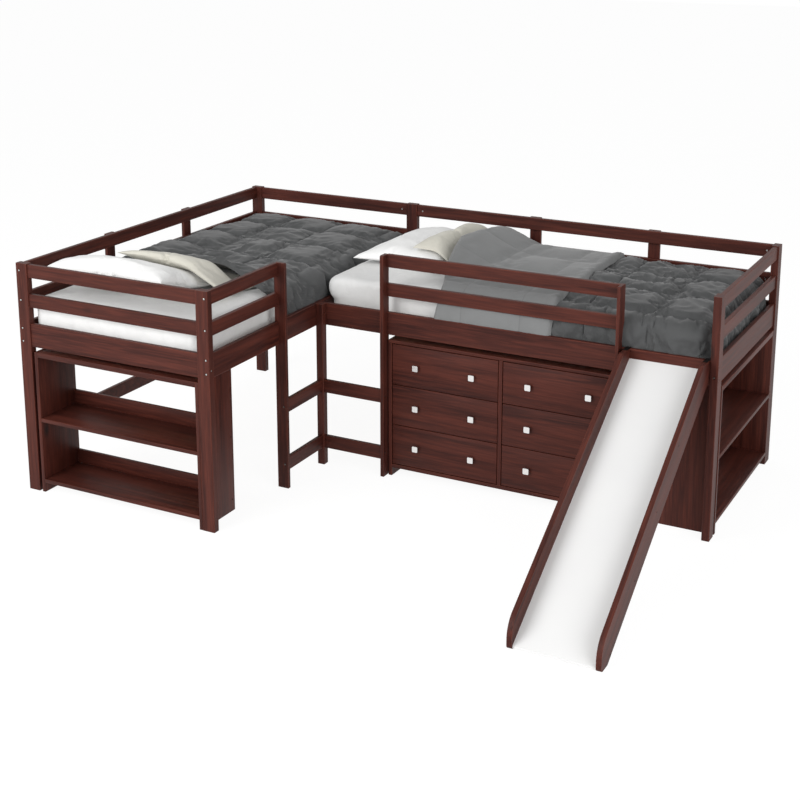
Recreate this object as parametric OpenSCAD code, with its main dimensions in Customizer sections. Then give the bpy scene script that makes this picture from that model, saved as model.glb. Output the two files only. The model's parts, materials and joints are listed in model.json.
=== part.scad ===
// L-shaped loft bed in stained pine: two low lofts at a right angle, with a corner
// ladder, a slide, a six drawer dresser and two bookcases.
// Millimetres, +Z up. X runs along the long back wall, Y from the front to that wall.
// The origin is the centre of the foot of the post in the outer corner.

/* [Frame] */
// Length of the left wing over its posts, wall to front
bed_length = 2032; // [1980:1:2200]
// Width of each bed over the outside of its posts
bed_width = 1083; // [1070:1:1160]
// Length of the back wall side over its posts
span = 3082; // [3060:1:3300]
// Height of the posts
post_height = 1130; // [1110:1:1250]
// Wide side of a post
post_width = 64; // [56:1:80]
// Narrow side of a post
post_thick = 36; // [32:1:44]
// Thickness of all rails
rail_thick = 22; // [20:1:26]
// Height of a guard rail
guard_height = 64; // [50:1:70]
// Open height between two rails
guard_gap = 80; // [70:1:90]
// Height of the wide bed rail
rail_height = 113; // [105:1:125]
// Drop from the post tops to the top guard rail
rail_drop = 3; // [2:1:10]
// Height of the low stretchers on the wall sides
stretcher_height = 70; // [60:1:90]
// Floor to the underside of a stretcher
stretcher_lift = 254; // [200:1:300]
// Width of the uprights that tie the guard rails on the wall sides
upright_width = 62; // [50:1:70]
// Thickness of those uprights
upright_thick = 18; // [12:1:22]
// Shift of the uprights on the long side from the thirds of their rails
upright_shift = 10; // [0:1:20]
// Broken edge of posts and rails
edge_break = 2; // [1:0.5:3]

/* [Ladder] */
// Side of the square post in the inner corner
corner_post = 38; // [38:1:50]
// Width of a ladder side board
ladder_width = 58; // [54:1:59]
// Thickness of a ladder side board
ladder_thick = 18; // [16:1:22]
// Clear width between a ladder board and the corner post
ladder_clear = 322; // [300:1:340]
// Height of a rung
rung_height = 66; // [56:1:75]
// Floor to the underside of the first rung
first_rung = 88; // [70:1:110]
// Rise from one rung to the next
rung_rise = 294; // [270:1:310]
// Corner radius at the top of the ladder boards and the gate post
top_radius = 8; // [4:1:14]
// Width of the gate post beside the slide
gate_width = 70; // [62:1:72]
// Thickness of the gate post
gate_thick = 14; // [12:1:18]
// Clear width from the gate post to the end post, where the slide hangs
slide_opening = 408; // [402:1:440]

/* [Fasteners] */
// Diameter of a bolt head
bolt_head = 13; // [11:0.5:15]
// Thickness of a bolt head
bolt_head_thick = 3.5; // [2.5:0.5:4]
// Diameter of a bolt shank
bolt_shank = 6; // [5:0.5:8]
// Depth of a counterbore for a bolt head
counterbore = 5; // [4.5:0.5:6]
// Diameter of a barrel nut
nut_diameter = 10; // [9.5:0.5:12]
// Length of a barrel nut
nut_length = 16; // [14:1:18]
// End of a rail to the centre of its barrel nut
nut_inset = 32; // [26:1:40]
// End of a bolt past the middle of its barrel nut
bolt_tip = 8; // [7:0.5:10]
// Gap between a fastener and its hole, on the radius
bolt_clearance = 0.25; // [0.2:0.05:0.4]

/* [Slats] */
// Underside of the bed rail to the underside of the ledger
ledger_lift = 10; // [4:1:12]
// Height of a ledger
ledger_height = 30; // [24:1:34]
// Thickness of a ledger
ledger_thick = 22; // [16:1:26]
// Thickness of a slat
slat_thick = 18; // [15:1:20]
// Width of a slat
slat_width = 68; // [60:1:80]
// Slats in each bed
slat_count = 14; // [12:1:16]

/* [Slide] */
// Slope of the slide
slide_angle = 31.5; // [29:0.5:34]
// Width of the sliding surface
slide_width = 339; // [320:1:341]
// Thickness of a side board
slide_board_thick = 22; // [18:1:24]
// Depth of a side board, square to the slope
slide_board_depth = 125; // [120:1:135]
// Board edge down to the sliding surface, square to the slope
slide_wall = 80; // [74:1:85]
// Thickness of the sliding panel
slide_panel_thick = 9; // [8:0.5:11]
// Level top of a side board in front of the bed rail
slide_shoulder = 81; // [76:1:100]
// Gap from the slide to the end post
slide_side_gap = 6; // [4:1:10]
// Height of the sliding surface at its toe
slide_lip = 10; // [8:1:12]
// Radius of the nose of a side board
nose_radius = 110; // [90:1:115]
// Radius of the heel of the nose at the floor
heel_radius = 18; // [10:1:20]
// Width of a batten under the panel, along the slope
batten_width = 44; // [36:1:50]
// Thickness of a batten
batten_thick = 20; // [16:1:22]
// Battens under the panel
batten_count = 4; // [3:1:4]
// Shoulder to the first batten, along the slope
batten_first = 378; // [340:1:400]
// Last batten to the toe, along the slope
batten_last = 39; // [36:1:120]
// Width of a hook over the bed rail
hook_width = 20; // [16:1:22]
// Thickness of a hook
hook_thick = 3; // [2:0.5:4]
// Length of the hook on the shoulder of the board
hook_reach = 30; // [20:1:72]
// Length of the hook's lip behind the bed rail
hook_lip = 34; // [24:1:50]

/* [Dresser] */
// Gap from the dresser to the bookcase at the slide end
dresser_end_gap = 172; // [170:1:210]
// Gap from the dresser up to the bed rail
dresser_headroom = 24; // [11:1:36]
// Depth of the dresser
dresser_depth = 400; // [380:1:460]
// Gap between the ladder board and the dresser
dresser_gap = 8; // [6:1:9]
// Thickness of the dresser top
dresser_top_thick = 16; // [14:1:20]
// Thickness of the dresser panels and drawer fronts
panel_thick = 18; // [15:1:20]
// Thickness of the dresser back
back_thick = 6; // [4:1:8]
// Floor to the underside of the dresser base board
base_lift = 43; // [35:1:55]
// Drawers in a column
drawer_rows = 3;
// Gap around a drawer front
drawer_gap = 4; // [3:0.5:5]
// Thickness of the drawer sides and backs
drawer_side = 12; // [10:1:15]
// Thickness of a drawer bottom
drawer_bottom = 6; // [4:1:8]
// Length of a drawer box behind its front
drawer_box = 350; // [320:1:355]
// Foot of the drawer sides to the drawer bottom
drawer_bottom_lift = 8; // [4:1:12]
// Top of a drawer box down from the top of its front
drawer_box_drop = 28.7; // [20:0.1:48.7]
// Space for the runner beside a drawer box
runner_space = 13; // [12:0.5:15]
// Thickness of the runner steel
runner_steel = 2; // [1.5:0.5:2.5]
// Height of a runner
runner_height = 28; // [20:1:36]
// Glue line between the boards of a drawer or a bookcase
glue_line = 0.1; // [0.1:0.05:0.2]
// Running gap between a drawer box and its runners
runner_clearance = 0.3; // [0.3:0.1:0.6]
// Height of a runner above the foot of its drawer front
runner_lift = 22; // [16:1:26]
// Side of a square knob
knob_size = 29; // [24:1:34]
// Thickness of a knob head
knob_thick = 9; // [7:1:12]
// Bevel of a knob's face
knob_bevel = 3; // [1:0.5:4]
// Diameter of a knob stem
knob_stem = 13; // [10:1:16]
// Length of a knob stem
knob_stand = 9; // [7:1:14]
// Side edge of a drawer front to a knob centre
knob_inset = 131; // [110:1:160]

/* [Bookcases] */
// Gap from the front bookcase to the wall side post
bookcase_side_gap = 17; // [15:1:50]
// Gap from a bookcase up to the bed rail
bookcase_headroom = 21; // [11:1:36]
// Depth of a bookcase
bookcase_depth = 260; // [240:1:300]
// Thickness of the bookcase top
bookcase_top = 25; // [18:1:30]
// Thickness of the bookcase sides and shelves
shelf_thick = 18; // [15:1:22]
// Floor to the underside of the middle shelf
middle_shelf = 358; // [330:1:380]
// Floor to the underside of the bottom shelf
bottom_shelf = 48; // [40:1:60]
// Height of the back stop on a shelf
stop_height = 68; // [50:1:90]
// Thickness of a back stop
stop_thick = 15; // [12:1:18]

/* [Bedding] */
// Gap between a mattress and the rails on the wall side
mattress_wall_gap = 17; // [17:1:50]
// Height of a mattress at its edge
mattress_height = 168; // [140:1:170]
// Radius of a mattress' corners in plan
mattress_corner = 60; // [40:5:90]
// Rise of a mattress from its edge to its middle
mattress_crown = 12; // [6:1:16]
// Mattress to the rail on the open side, where the comforter hangs
mattress_setback = 46; // [44:1:52]
// Gap between a mattress and the rails at its head
mattress_head_gap = 12; // [8:1:30]
// Gap between the mattress and the rails at its foot, on the shorter bed
mattress_foot_gap = 57; // [45:1:100]
// Thickness of a comforter
comforter_thick = 24; // [18:1:26]
// Draw in of a comforter from the wall side of its mattress
comforter_inset = 8; // [4:1:20]
// Rise of its quilted boxes
quilt_rise = 9; // [4:1:12]
// Length of a pillow
pillow_length = 640; // [600:1:680]
// Depth of a pillow
pillow_depth = 370; // [350:1:380]
// Thickness of a pillow
pillow_thick = 96; // [88:1:98]
// Lean of the second pillow
pillow_lean = 20; // [18:1:21]
// Step from the first pillow to the second
pillow_step = 263.5; // [263.5:0.5:275]
// Height of the middle of the leaning pillow over the bed
pillow_lift = 77.5; // [77.5:0.5:84]
// Shift of each pillow from the middle of the bed
pillow_aside = 60; // [0:1:120]
// Wave of the hanging side of a comforter
comforter_wave = 7; // [3:1:9]
// Length of one fold along that side
comforter_fold = 260; // [180:10:400]
// Height of the hem over the slats
comforter_hem = 48; // [30:1:80]
// Side of a quilted box
quilt_box = 240; // [160:10:320]
// Head of the left mattress to the head edge of its comforter
left_cover = 732.5; // [727.5:5:802.5]
// Head of the right mattress to the head edge of its comforter
right_cover = 672.5; // [667.5:5:752.5]
// How far the head edge of the left comforter runs askew, from the middle to the open side
left_skew = -90; // [-90:5:0]
// How far the head edge of the right comforter runs askew, from the middle to the open side
right_skew = 65; // [0:5:65]
// Length of the part folded back on the left comforter
left_fold = 120; // [80:10:200]
// Length of the part folded back on the right comforter
right_fold = 555; // [400:5:600]
// Gap that soft parts keep from what they lie on
soft_gap = 0.3; // [0.3:0.1:1]

/* [Hidden] */
$fn = 48;
overcut = 1;
head_overlap = 0.5;
corner_bolt_drop = 22;
rung_bolt_stagger = 12;
rail_bolt_spread = 64;
side_bolt_drop = 17;
end_gap = 1;
batten_glue = 0.05;

wood = [0.20, 0.08, 0.06];
wood_dark = [0.15, 0.06, 0.05];
pale_wood = [0.72, 0.58, 0.40];
steel = [0.72, 0.72, 0.72];
slide_white = [0.86, 0.87, 0.88];
sheet_white = [0.93, 0.93, 0.92];
comforter_grey = [0.30, 0.31, 0.33];

rail_inset = (post_thick - rail_thick) / 2;
side_face = bed_width - rail_inset;
inner_face = side_face - rail_thick;
rail_axis = rail_inset + rail_thick / 2;

top_guard = post_height - rail_drop - guard_height;
mid_guard = top_guard - guard_gap - guard_height;
rail_lift = mid_guard - guard_gap - rail_height;
rail_top = rail_lift + rail_height;
guard_top = post_height - rail_drop;
guard_bolts = [top_guard + guard_height / 2, mid_guard + guard_height / 2];
rail_middle = rail_lift + rail_height / 2;
rail_bolts = [rail_middle - rail_bolt_spread / 2, rail_middle + rail_bolt_spread / 2];
side_bolt = rail_middle - side_bolt_drop;
stretcher_bolt = stretcher_lift + stretcher_height / 2;

corner_axis = side_face + corner_post / 2;
ladder_inner = side_face + corner_post - ladder_width;
ladder_near = side_face + corner_post + ladder_clear;
ladder_far = ladder_near + ladder_thick;
gate_edge = span - post_thick - slide_opening - gate_thick;
rungs = [first_rung, first_rung + rung_rise];
rung_middles = [for (z = rungs) z + rung_height / 2];

ledger_z = rail_lift + ledger_lift;
slat_z = ledger_z + ledger_height;
bed_z = slat_z + slat_thick;

slide_right = span - post_thick - slide_side_gap - slide_board_thick;
slide_left = slide_right - slide_width - slide_board_thick;
slide_reach = slide_shoulder
    + (rail_top - slide_wall / cos(slide_angle) - slide_lip) / tan(slide_angle);
batten_span = (slide_reach - slide_shoulder) / cos(slide_angle) - batten_first - batten_last;
batten_pitch = batten_span / (batten_count - 1);

dresser_x = ladder_far + dresser_gap;
dresser_width = span - bookcase_depth - dresser_end_gap - dresser_x;
dresser_height = rail_lift - dresser_headroom;
dresser_back_y = -side_face + dresser_depth;
column_width = (dresser_width - 3 * panel_thick) / 2;
front_width = column_width - 2 * drawer_gap;
drawer_stack = dresser_height - dresser_top_thick - base_lift - panel_thick;
front_height = (drawer_stack - (drawer_rows + 1) * drawer_gap) / drawer_rows;
drawer_box_lift = runner_lift + runner_steel + runner_clearance;
drawer_box_height = front_height - drawer_box_lift - drawer_box_drop;

bookcase_width = bed_width - 2 * post_width - bookcase_side_gap;
bookcase_height = rail_lift - bookcase_headroom;

open_side = inner_face - mattress_setback;
mattress_width = open_side - rail_inset - rail_thick - mattress_wall_gap;

// Boards and outlines

function eased(w, h, c = edge_break) = [
    [c, 0], [w - c, 0], [w, c], [w, h - c], [w - c, h], [c, h], [0, h - c], [0, c]
];

function arc(centre, radius, from, to, steps = 8) = [
    for (i = [0:steps])
        let (a = from + (to - from) * i / steps)
            centre + radius * [cos(a), sin(a)]
];

// Moves a shape drawn from the outer wall corner to the part's own origin
module placed() {
    translate([-post_width / 2, post_thick / 2, 0]) children();
}

module board_x(from, length, w, h) {
    translate(from) rotate([90, 0, 90]) linear_extrude(length) polygon(eased(w, h));
}

module board_y(from, length, w, h) {
    translate(from + [0, length, 0]) rotate([90, 0, 0]) linear_extrude(length)
        polygon(eased(w, h));
}

module board_z(from, height, w, d) {
    translate(from) linear_extrude(height) polygon(eased(w, d));
}

// Both guard rails and the wide rail, or a choice of them, along X or Y
module rails_x(x, y, length, guards = true, wide = true) {
    if (guards)
        for (z = [top_guard, mid_guard])
            board_x([x, y, z], length, rail_thick, guard_height);
    if (wide) board_x([x, y, rail_lift], length, rail_thick, rail_height);
}

module rails_y(x, y, length, guards = true, wide = true) {
    if (guards)
        for (z = [top_guard, mid_guard])
            board_y([x, y, z], length, rail_thick, guard_height);
    if (wide) board_y([x, y, rail_lift], length, rail_thick, rail_height);
}

// Fasteners
// A joint is [head point, heading, grip, side of the nut, depth to the nut, nut to open face]

function joints(x, y, heading, grip, side, heights, depth = nut_inset, open = rail_thick / 2) = [
    for (z = heights) [[x, y, z], heading, grip, side, depth, open]
];

function nut_at(joint) = joint[2] + joint[4];
function shank_end(joint) = nut_at(joint) + bolt_tip;

module at_joint(joint) {
    translate(joint[0]) rotate([0, 0, joint[1]]) rotate([0, 90, 0])
        rotate([0, 0, 90 * joint[3]]) children();
}

module bolt(joint) {
    at_joint(joint) {
        translate([0, 0, counterbore - bolt_head_thick]) cylinder(h = bolt_head_thick, d = bolt_head);
        translate([0, 0, counterbore - head_overlap])
            cylinder(h = shank_end(joint) - counterbore + head_overlap, d = bolt_shank);
    }
}

module nut(joint) {
    at_joint(joint) translate([0, 0, nut_at(joint)]) difference() {
        rotate([0, 90, 0]) cylinder(h = nut_length, d = nut_diameter, center = true);
        cylinder(h = 2 * nut_diameter, d = bolt_shank + 2 * bolt_clearance, center = true);
    }
}

module nut_hole(joint) {
    reach = nut_length / 2 + bolt_clearance;
    at_joint(joint) translate([-reach, 0, nut_at(joint)]) rotate([0, 90, 0])
        cylinder(h = reach + joint[5] + overcut, d = nut_diameter + 2 * bolt_clearance);
}

module drilled(list) {
    difference() {
        children();
        for (joint = list) {
            at_joint(joint) {
                translate([0, 0, -overcut])
                    cylinder(h = counterbore + overcut, d = bolt_head + 2 * bolt_clearance);
                cylinder(h = shank_end(joint) + bolt_clearance, d = bolt_shank + 2 * bolt_clearance);
            }
            nut_hole(joint);
        }
    }
}

// A stud through the back middle post holds a rail on each side of it
function studs() = [
    for (z = concat(guard_bolts, [side_bolt])) [bed_width - post_width / 2, -rail_axis, z]
];
stud_half = post_width / 2 + nut_inset;

module stud_nuts(hole) {
    for (p = studs(), side = [-1, 1])
        translate(p + [side * stud_half, 0, 0]) rotate([90, 0, 0])
            if (hole)
                translate([0, 0, -nut_length / 2 - bolt_clearance])
                    cylinder(h = nut_length / 2 + bolt_clearance + rail_thick / 2 + overcut,
                        d = nut_diameter + 2 * bolt_clearance);
            else
                difference() {
                    cylinder(h = nut_length, d = nut_diameter, center = true);
                    rotate([0, 90, 0])
                        cylinder(h = 2 * nut_diameter, d = bolt_shank + 2 * bolt_clearance, center = true);
                }
}

module stud_shanks(extra) {
    for (p = studs())
        translate(p) rotate([0, 90, 0])
            cylinder(h = 2 * (stud_half + bolt_tip + extra), d = bolt_shank + 2 * extra, center = true);
}

module stud_drilled() {
    difference() {
        children();
        stud_shanks(bolt_clearance);
        stud_nuts(true);
    }
}

levels_all = concat(guard_bolts, rail_bolts);
front_left_rail_bolts = joints(rail_axis, -bed_length, 90, post_thick, -1, levels_all);
front_right_rail_bolts = joints(bed_width - rail_axis, -bed_length, 90, post_thick, 1, levels_all);
outer_rail_bolts = joints(rail_axis, 0, 270, post_thick, 1, levels_all);
outer_low_bolt = joints(rail_axis, 0, 270, post_thick, 1, [stretcher_bolt]);
middle_rail_bolts = joints(bed_width - rail_axis, 0, 270, post_thick, -1, rail_bolts);
middle_low_bolt = joints(bed_width - post_width, -rail_axis, 0, post_width, -1, [stretcher_bolt]);
front_left_end_bolt = joints(0, -bed_length + post_thick / 2, 0, post_width, 1, [side_bolt]);
front_right_end_bolt = joints(bed_width, -bed_length + post_thick / 2, 180, post_width, -1, [side_bolt]);
outer_end_bolt = joints(0, -rail_axis, 0, post_width, -1, [side_bolt]);
right_front_rail_bolts = joints(span, -bed_width + rail_axis, 180, post_thick, -1, rail_bolts);
right_front_end_bolt = joints(span - rail_axis, -bed_width, 90, post_width, 1, [side_bolt]);
right_back_rail_bolts = joints(span, -rail_axis, 180, post_thick, 1, levels_all);
right_back_low_bolt = joints(span, -rail_axis, 180, post_thick, 1, [stretcher_bolt]);
right_back_end_bolt = joints(span - rail_axis, 0, 270, post_width, -1, [side_bolt]);
tee_bolt = joints(inner_face, -bed_width + rail_axis, 0, rail_thick, 1, [rail_bolts[1]]);
corner_bolt_left = joints(inner_face, -corner_axis, 0, rail_thick, 1, [rail_bolts[1]],
    corner_post / 2, corner_post / 2);
corner_bolt_right = joints(corner_axis, -inner_face, 270, rail_thick, 1,
    [rail_bolts[1] - corner_bolt_drop], corner_post / 2, corner_post / 2);
rung_left_front = joints(corner_axis, -ladder_far, 90, ladder_thick, 1, rung_middles);
rung_left_back = joints(corner_axis, -side_face, 270, corner_post, -1,
    [for (z = rung_middles) z + rung_bolt_stagger]);
rung_right_end = joints(ladder_far, -corner_axis, 180, ladder_thick, -1, rung_middles);
rung_right_back = joints(side_face, -corner_axis, 0, corner_post, 1,
    [for (z = rung_middles) z - rung_bolt_stagger]);
all_joints = concat(
    front_left_rail_bolts, front_right_rail_bolts, outer_rail_bolts, outer_low_bolt,
    middle_rail_bolts, middle_low_bolt, front_left_end_bolt,
    front_right_end_bolt, outer_end_bolt, right_front_rail_bolts, right_front_end_bolt,
    right_back_rail_bolts, right_back_low_bolt, right_back_end_bolt, tee_bolt,
    corner_bolt_left, corner_bolt_right, rung_left_front, rung_left_back, rung_right_end,
    rung_right_back
);

module frame_bolts() {
    color(steel) placed() {
        for (joint = all_joints) bolt(joint);
        stud_shanks(0);
    }
}

module barrel_nuts() {
    color(steel) placed() {
        for (joint = all_joints) nut(joint);
        stud_nuts(false);
    }
}

// Posts

module post_front_left() {
    color(wood) placed()
        drilled(concat(front_left_rail_bolts, front_left_end_bolt))
            board_z([0, -bed_length, 0], post_height, post_width, post_thick);
}

module post_front_right() {
    color(wood) placed() drilled(concat(front_right_rail_bolts, front_right_end_bolt))
        board_z([bed_width - post_width, -bed_length, 0], post_height, post_width, post_thick);
}

module post_corner_outer() {
    color(wood) placed() drilled(concat(outer_rail_bolts, outer_low_bolt, outer_end_bolt))
        board_z([0, -post_thick, 0], post_height, post_width, post_thick);
}

module post_corner_inner() {
    color(wood) placed()
        drilled(concat(corner_bolt_left, corner_bolt_right, rung_left_back, rung_right_back))
            board_z([side_face, -side_face - corner_post, 0], rail_top, corner_post, corner_post);
}

module post_back_middle() {
    color(wood) placed() stud_drilled() drilled(concat(middle_rail_bolts, middle_low_bolt))
        board_z([bed_width - post_width, -post_thick, 0], post_height, post_width, post_thick);
}

module post_right_front() {
    color(wood) placed() drilled(concat(right_front_rail_bolts, right_front_end_bolt))
        board_z([span - post_thick, -bed_width, 0], post_height, post_thick, post_width);
}

module post_right_back() {
    color(wood) placed()
        drilled(concat(right_back_rail_bolts, right_back_low_bolt, right_back_end_bolt))
            board_z([span - post_thick, -post_width, 0], post_height, post_thick, post_width);
}

// Outline of a ladder board: its inner edge is notched around the wide rail
function ladder_outline() = concat(
    [[0, 0], [ladder_width, 0]],
    arc([ladder_width - top_radius, guard_top - top_radius], top_radius, 0, 90),
    arc([top_radius, guard_top - top_radius], top_radius, 90, 180),
    [
        [0, rail_top], [ladder_width - corner_post, rail_top],
        [ladder_width - corner_post, rail_lift], [0, rail_lift]
    ]
);

module ladder_board() {
    rotate([90, 0, 0]) linear_extrude(ladder_thick) polygon(ladder_outline());
}

module ladder_post_left() {
    color(wood) placed() drilled(rung_left_front)
        translate([ladder_inner, -ladder_near, 0]) ladder_board();
}

module ladder_post_right() {
    color(wood) placed() drilled(rung_right_end)
        translate([ladder_near, -ladder_inner, 0]) rotate([0, 0, -90]) mirror([0, 1, 0]) ladder_board();
}

// The gate post sits over the bed rail, with a strip down its outer face
function gate_outline() = concat(
    [[-corner_post, rail_lift], [0, rail_lift], [0, rail_top], [gate_width - corner_post, rail_top]],
    arc([gate_width - corner_post - top_radius, guard_top - top_radius], top_radius, 0, 90),
    arc([-corner_post + top_radius, guard_top - top_radius], top_radius, 90, 180)
);

module gate_post() {
    color(wood) placed() translate([gate_edge, -side_face, 0]) rotate([90, 0, 90])
        linear_extrude(gate_thick) polygon(gate_outline());
}

module wall_uprights() {
    height = guard_top - rail_lift;
    wing = bed_length - 2 * post_thick;
    run = span - bed_width - post_thick;
    color(wood) placed() {
        for (k = [1, 2])
            translate([rail_inset - upright_thick, -post_thick - wing * k / 3 - upright_width / 2, rail_lift])
                board_z([0, 0, 0], height, upright_thick, upright_width);
        for (k = [1, 2])
            translate([bed_width + run * k / 3 + upright_shift, -rail_inset, rail_lift])
                board_z([0, 0, 0], height, upright_width, upright_thick);
    }
}

// Rails

module front_end_rails() {
    length = bed_width - 2 * post_width;
    color(wood) placed() drilled(concat(front_left_end_bolt, front_right_end_bolt))
        rails_x(post_width, -bed_length + rail_inset, length);
}

module right_end_rails() {
    length = bed_width - 2 * post_width;
    color(wood) placed() drilled(concat(right_front_end_bolt, right_back_end_bolt))
        rails_y(span - rail_inset - rail_thick, -bed_width + post_width, length);
}

module left_side_guards() {
    length = bed_length - post_thick - ladder_far;
    color(wood) placed() drilled(front_right_rail_bolts)
        rails_y(inner_face, -bed_length + post_thick, length, wide = false);
}

module left_side_rail() {
    length = bed_length - 2 * post_thick;
    color(wood) placed()
        drilled(concat(front_right_rail_bolts, middle_rail_bolts, tee_bolt, corner_bolt_left))
            rails_y(inner_face, -bed_length + post_thick, length, guards = false);
}

module right_side_guards() {
    color(wood) placed()
        rails_x(ladder_far, -side_face, gate_edge - ladder_far, wide = false);
}

module right_side_rail() {
    color(wood) placed() drilled(concat(tee_bolt, corner_bolt_right, right_front_rail_bolts))
        rails_x(side_face, -side_face, span - post_thick - side_face, guards = false);
}

module left_wall_rails() {
    length = bed_length - 2 * post_thick;
    color(wood) placed() drilled(concat(front_left_rail_bolts, outer_rail_bolts))
        rails_y(rail_inset, -bed_length + post_thick, length);
}

module back_left_rails() {
    length = bed_width - 2 * post_width;
    color(wood) placed() stud_drilled() drilled(outer_end_bolt)
        rails_x(post_width, -rail_inset - rail_thick, length);
}

module back_right_rails() {
    length = span - post_thick - bed_width;
    color(wood) placed() stud_drilled() drilled(right_back_rail_bolts)
        rails_x(bed_width, -rail_inset - rail_thick, length);
}

module wall_stretchers() {
    color(wood) placed() {
        drilled(outer_low_bolt)
            board_y([rail_inset, -bed_length + post_thick, stretcher_lift],
                bed_length - 2 * post_thick, rail_thick, stretcher_height);
        drilled(concat(middle_low_bolt, right_back_low_bolt))
            board_x([bed_width, -rail_inset - rail_thick, stretcher_lift],
                span - post_thick - bed_width, rail_thick, stretcher_height);
    }
}

module ladder_rungs_left() {
    color(wood) placed() drilled(concat(rung_left_front, rung_left_back))
        for (z = rungs)
            board_y([corner_axis - rail_thick / 2, -ladder_near, z], ladder_clear, rail_thick, rung_height);
}

module ladder_rungs_right() {
    color(wood) placed() drilled(concat(rung_right_end, rung_right_back))
        for (z = rungs)
            board_x([side_face + corner_post, -corner_axis - rail_thick / 2, z],
                ladder_clear, rail_thick, rung_height);
}

// Slats

module slat_ledgers() {
    wing = bed_length - 2 * post_thick - 2 * end_gap;
    run = span - post_thick - bed_width - 2 * end_gap;
    color(pale_wood) placed() {
        for (x = [rail_inset + rail_thick, inner_face - ledger_thick])
            translate([x, -bed_length + post_thick + end_gap, ledger_z])
                cube([ledger_thick, wing, ledger_height]);
        for (y = [-rail_inset - rail_thick - ledger_thick, -inner_face])
            translate([bed_width + end_gap, y, ledger_z]) cube([run, ledger_thick, ledger_height]);
    }
}

module slats_left() {
    across = inner_face - rail_inset - rail_thick - 2 * end_gap;
    first = -bed_length + post_thick + slat_width / 2;
    step = (bed_length - 2 * post_thick - 2 * slat_width) / (slat_count - 1);
    color(pale_wood) placed()
        for (k = [0:slat_count - 1])
            translate([rail_inset + rail_thick + end_gap, first + k * step, slat_z])
                cube([across, slat_width, slat_thick]);
}

module slats_right() {
    across = inner_face - rail_inset - rail_thick - 2 * end_gap;
    first = bed_width + slat_width / 2;
    step = (span - post_thick - bed_width - 2 * slat_width) / (slat_count - 1);
    color(pale_wood) placed()
        for (k = [0:slat_count - 1])
            translate([first + k * step, -inner_face + end_gap, slat_z])
                cube([slat_width, across, slat_thick]);
}

// Slide, drawn in a side view of [distance in front of the rail, height]

function on_slope(s, depth) = [
    slide_shoulder + s * cos(slide_angle) - depth * sin(slide_angle),
    rail_top - s * sin(slide_angle) - depth * cos(slide_angle)
];
function slope_height(x, depth) =
    rail_top - (x - slide_shoulder) * tan(slide_angle) - depth / cos(slide_angle);
function floor_x(depth) =
    slide_shoulder + (rail_top - depth / cos(slide_angle)) / tan(slide_angle);

function slide_board_outline() =
    let (
        nose_x = slide_reach - nose_radius,
        nose_z = slope_height(nose_x, nose_radius),
        heel = [slide_reach - heel_radius, heel_radius]
    )
    concat(
        [[0, slope_height(0, slide_board_depth)], [floor_x(slide_board_depth), 0]],
        arc(heel, heel_radius, -90, 0, 4),
        arc([nose_x, nose_z], nose_radius, 0, 90 - slide_angle, 12),
        [[slide_shoulder, rail_top], [0, rail_top]]
    );

function slide_panel_outline() =
    let (toe = slide_reach - heel_radius / 2, under = slide_wall + slide_panel_thick)
    [
        [0, slope_height(0, slide_wall)], [0, slope_height(0, under)],
        [toe, max(slope_height(toe, under), 0)], [toe, slope_height(toe, slide_wall)]
    ];

module slide_extrude(x, width) {
    placed() translate([x + width, -side_face, 0]) rotate([90, 0, -90])
        linear_extrude(width) children();
}

module slide_boards() {
    color(wood)
        for (x = [slide_left, slide_right])
            slide_extrude(x, slide_board_thick) polygon(slide_board_outline());
}

module slide_panel() {
    color(slide_white) slide_extrude(slide_left + slide_board_thick, slide_width)
        polygon(slide_panel_outline());
}

module slide_battens() {
    top = slide_wall + slide_panel_thick + batten_glue;
    color(wood_dark) slide_extrude(slide_left + slide_board_thick, slide_width)
        for (k = [0:batten_count - 1])
            let (s = batten_first + k * batten_pitch, half = batten_width / 2)
                polygon([
                    on_slope(s - half, top), on_slope(s + half, top),
                    on_slope(s + half, top + batten_thick), on_slope(s - half, top + batten_thick)
                ]);
}

module slide_hooks() {
    inside = -rail_thick;
    outline = [
        [hook_reach, rail_top], [hook_reach, rail_top + hook_thick],
        [inside - hook_thick, rail_top + hook_thick], [inside - hook_thick, rail_top - hook_lip],
        [inside, rail_top - hook_lip], [inside, rail_top]
    ];
    color(steel)
        for (x = [slide_left, slide_right])
            slide_extrude(x + (slide_board_thick - hook_width) / 2, hook_width) polygon(outline);
}

// Dresser

function column_x(column) = dresser_x + panel_thick + column * (column_width + panel_thick);
function front_z(row) =
    base_lift + panel_thick + drawer_gap + (drawer_rows - 1 - row) * (front_height + drawer_gap);

// Two sides on the floor, and a divider that stands on the base board
module dresser_side_panels() {
    color(wood) placed()
        for (k = [0, 1, 2])
            let (foot = k == 1 ? base_lift + panel_thick : 0)
                translate([dresser_x + k * (column_width + panel_thick), -side_face, foot])
                    cube([
                        panel_thick, dresser_depth - back_thick,
                        dresser_height - dresser_top_thick - foot
                    ]);
}

module dresser_top() {
    color(wood) placed()
        board_x([dresser_x, -side_face, dresser_height - dresser_top_thick], dresser_width,
            dresser_depth, dresser_top_thick);
}

module dresser_base() {
    color(wood) placed()
        translate([column_x(0), -side_face, base_lift])
            cube([dresser_width - 2 * panel_thick, dresser_depth - back_thick, panel_thick]);
}

module dresser_back() {
    color(pale_wood) placed()
        translate([dresser_x, dresser_back_y - back_thick, base_lift])
            cube([dresser_width, back_thick, dresser_height - dresser_top_thick - base_lift]);
}

// An angle of steel on each side of a drawer space
module runner() {
    shelf = runner_space + drawer_side;
    rotate([90, 0, 0]) linear_extrude(drawer_box)
        polygon([
            [0, 0], [shelf, 0], [shelf, runner_steel], [runner_steel, runner_steel],
            [runner_steel, runner_height], [0, runner_height]
        ]);
}

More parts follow.
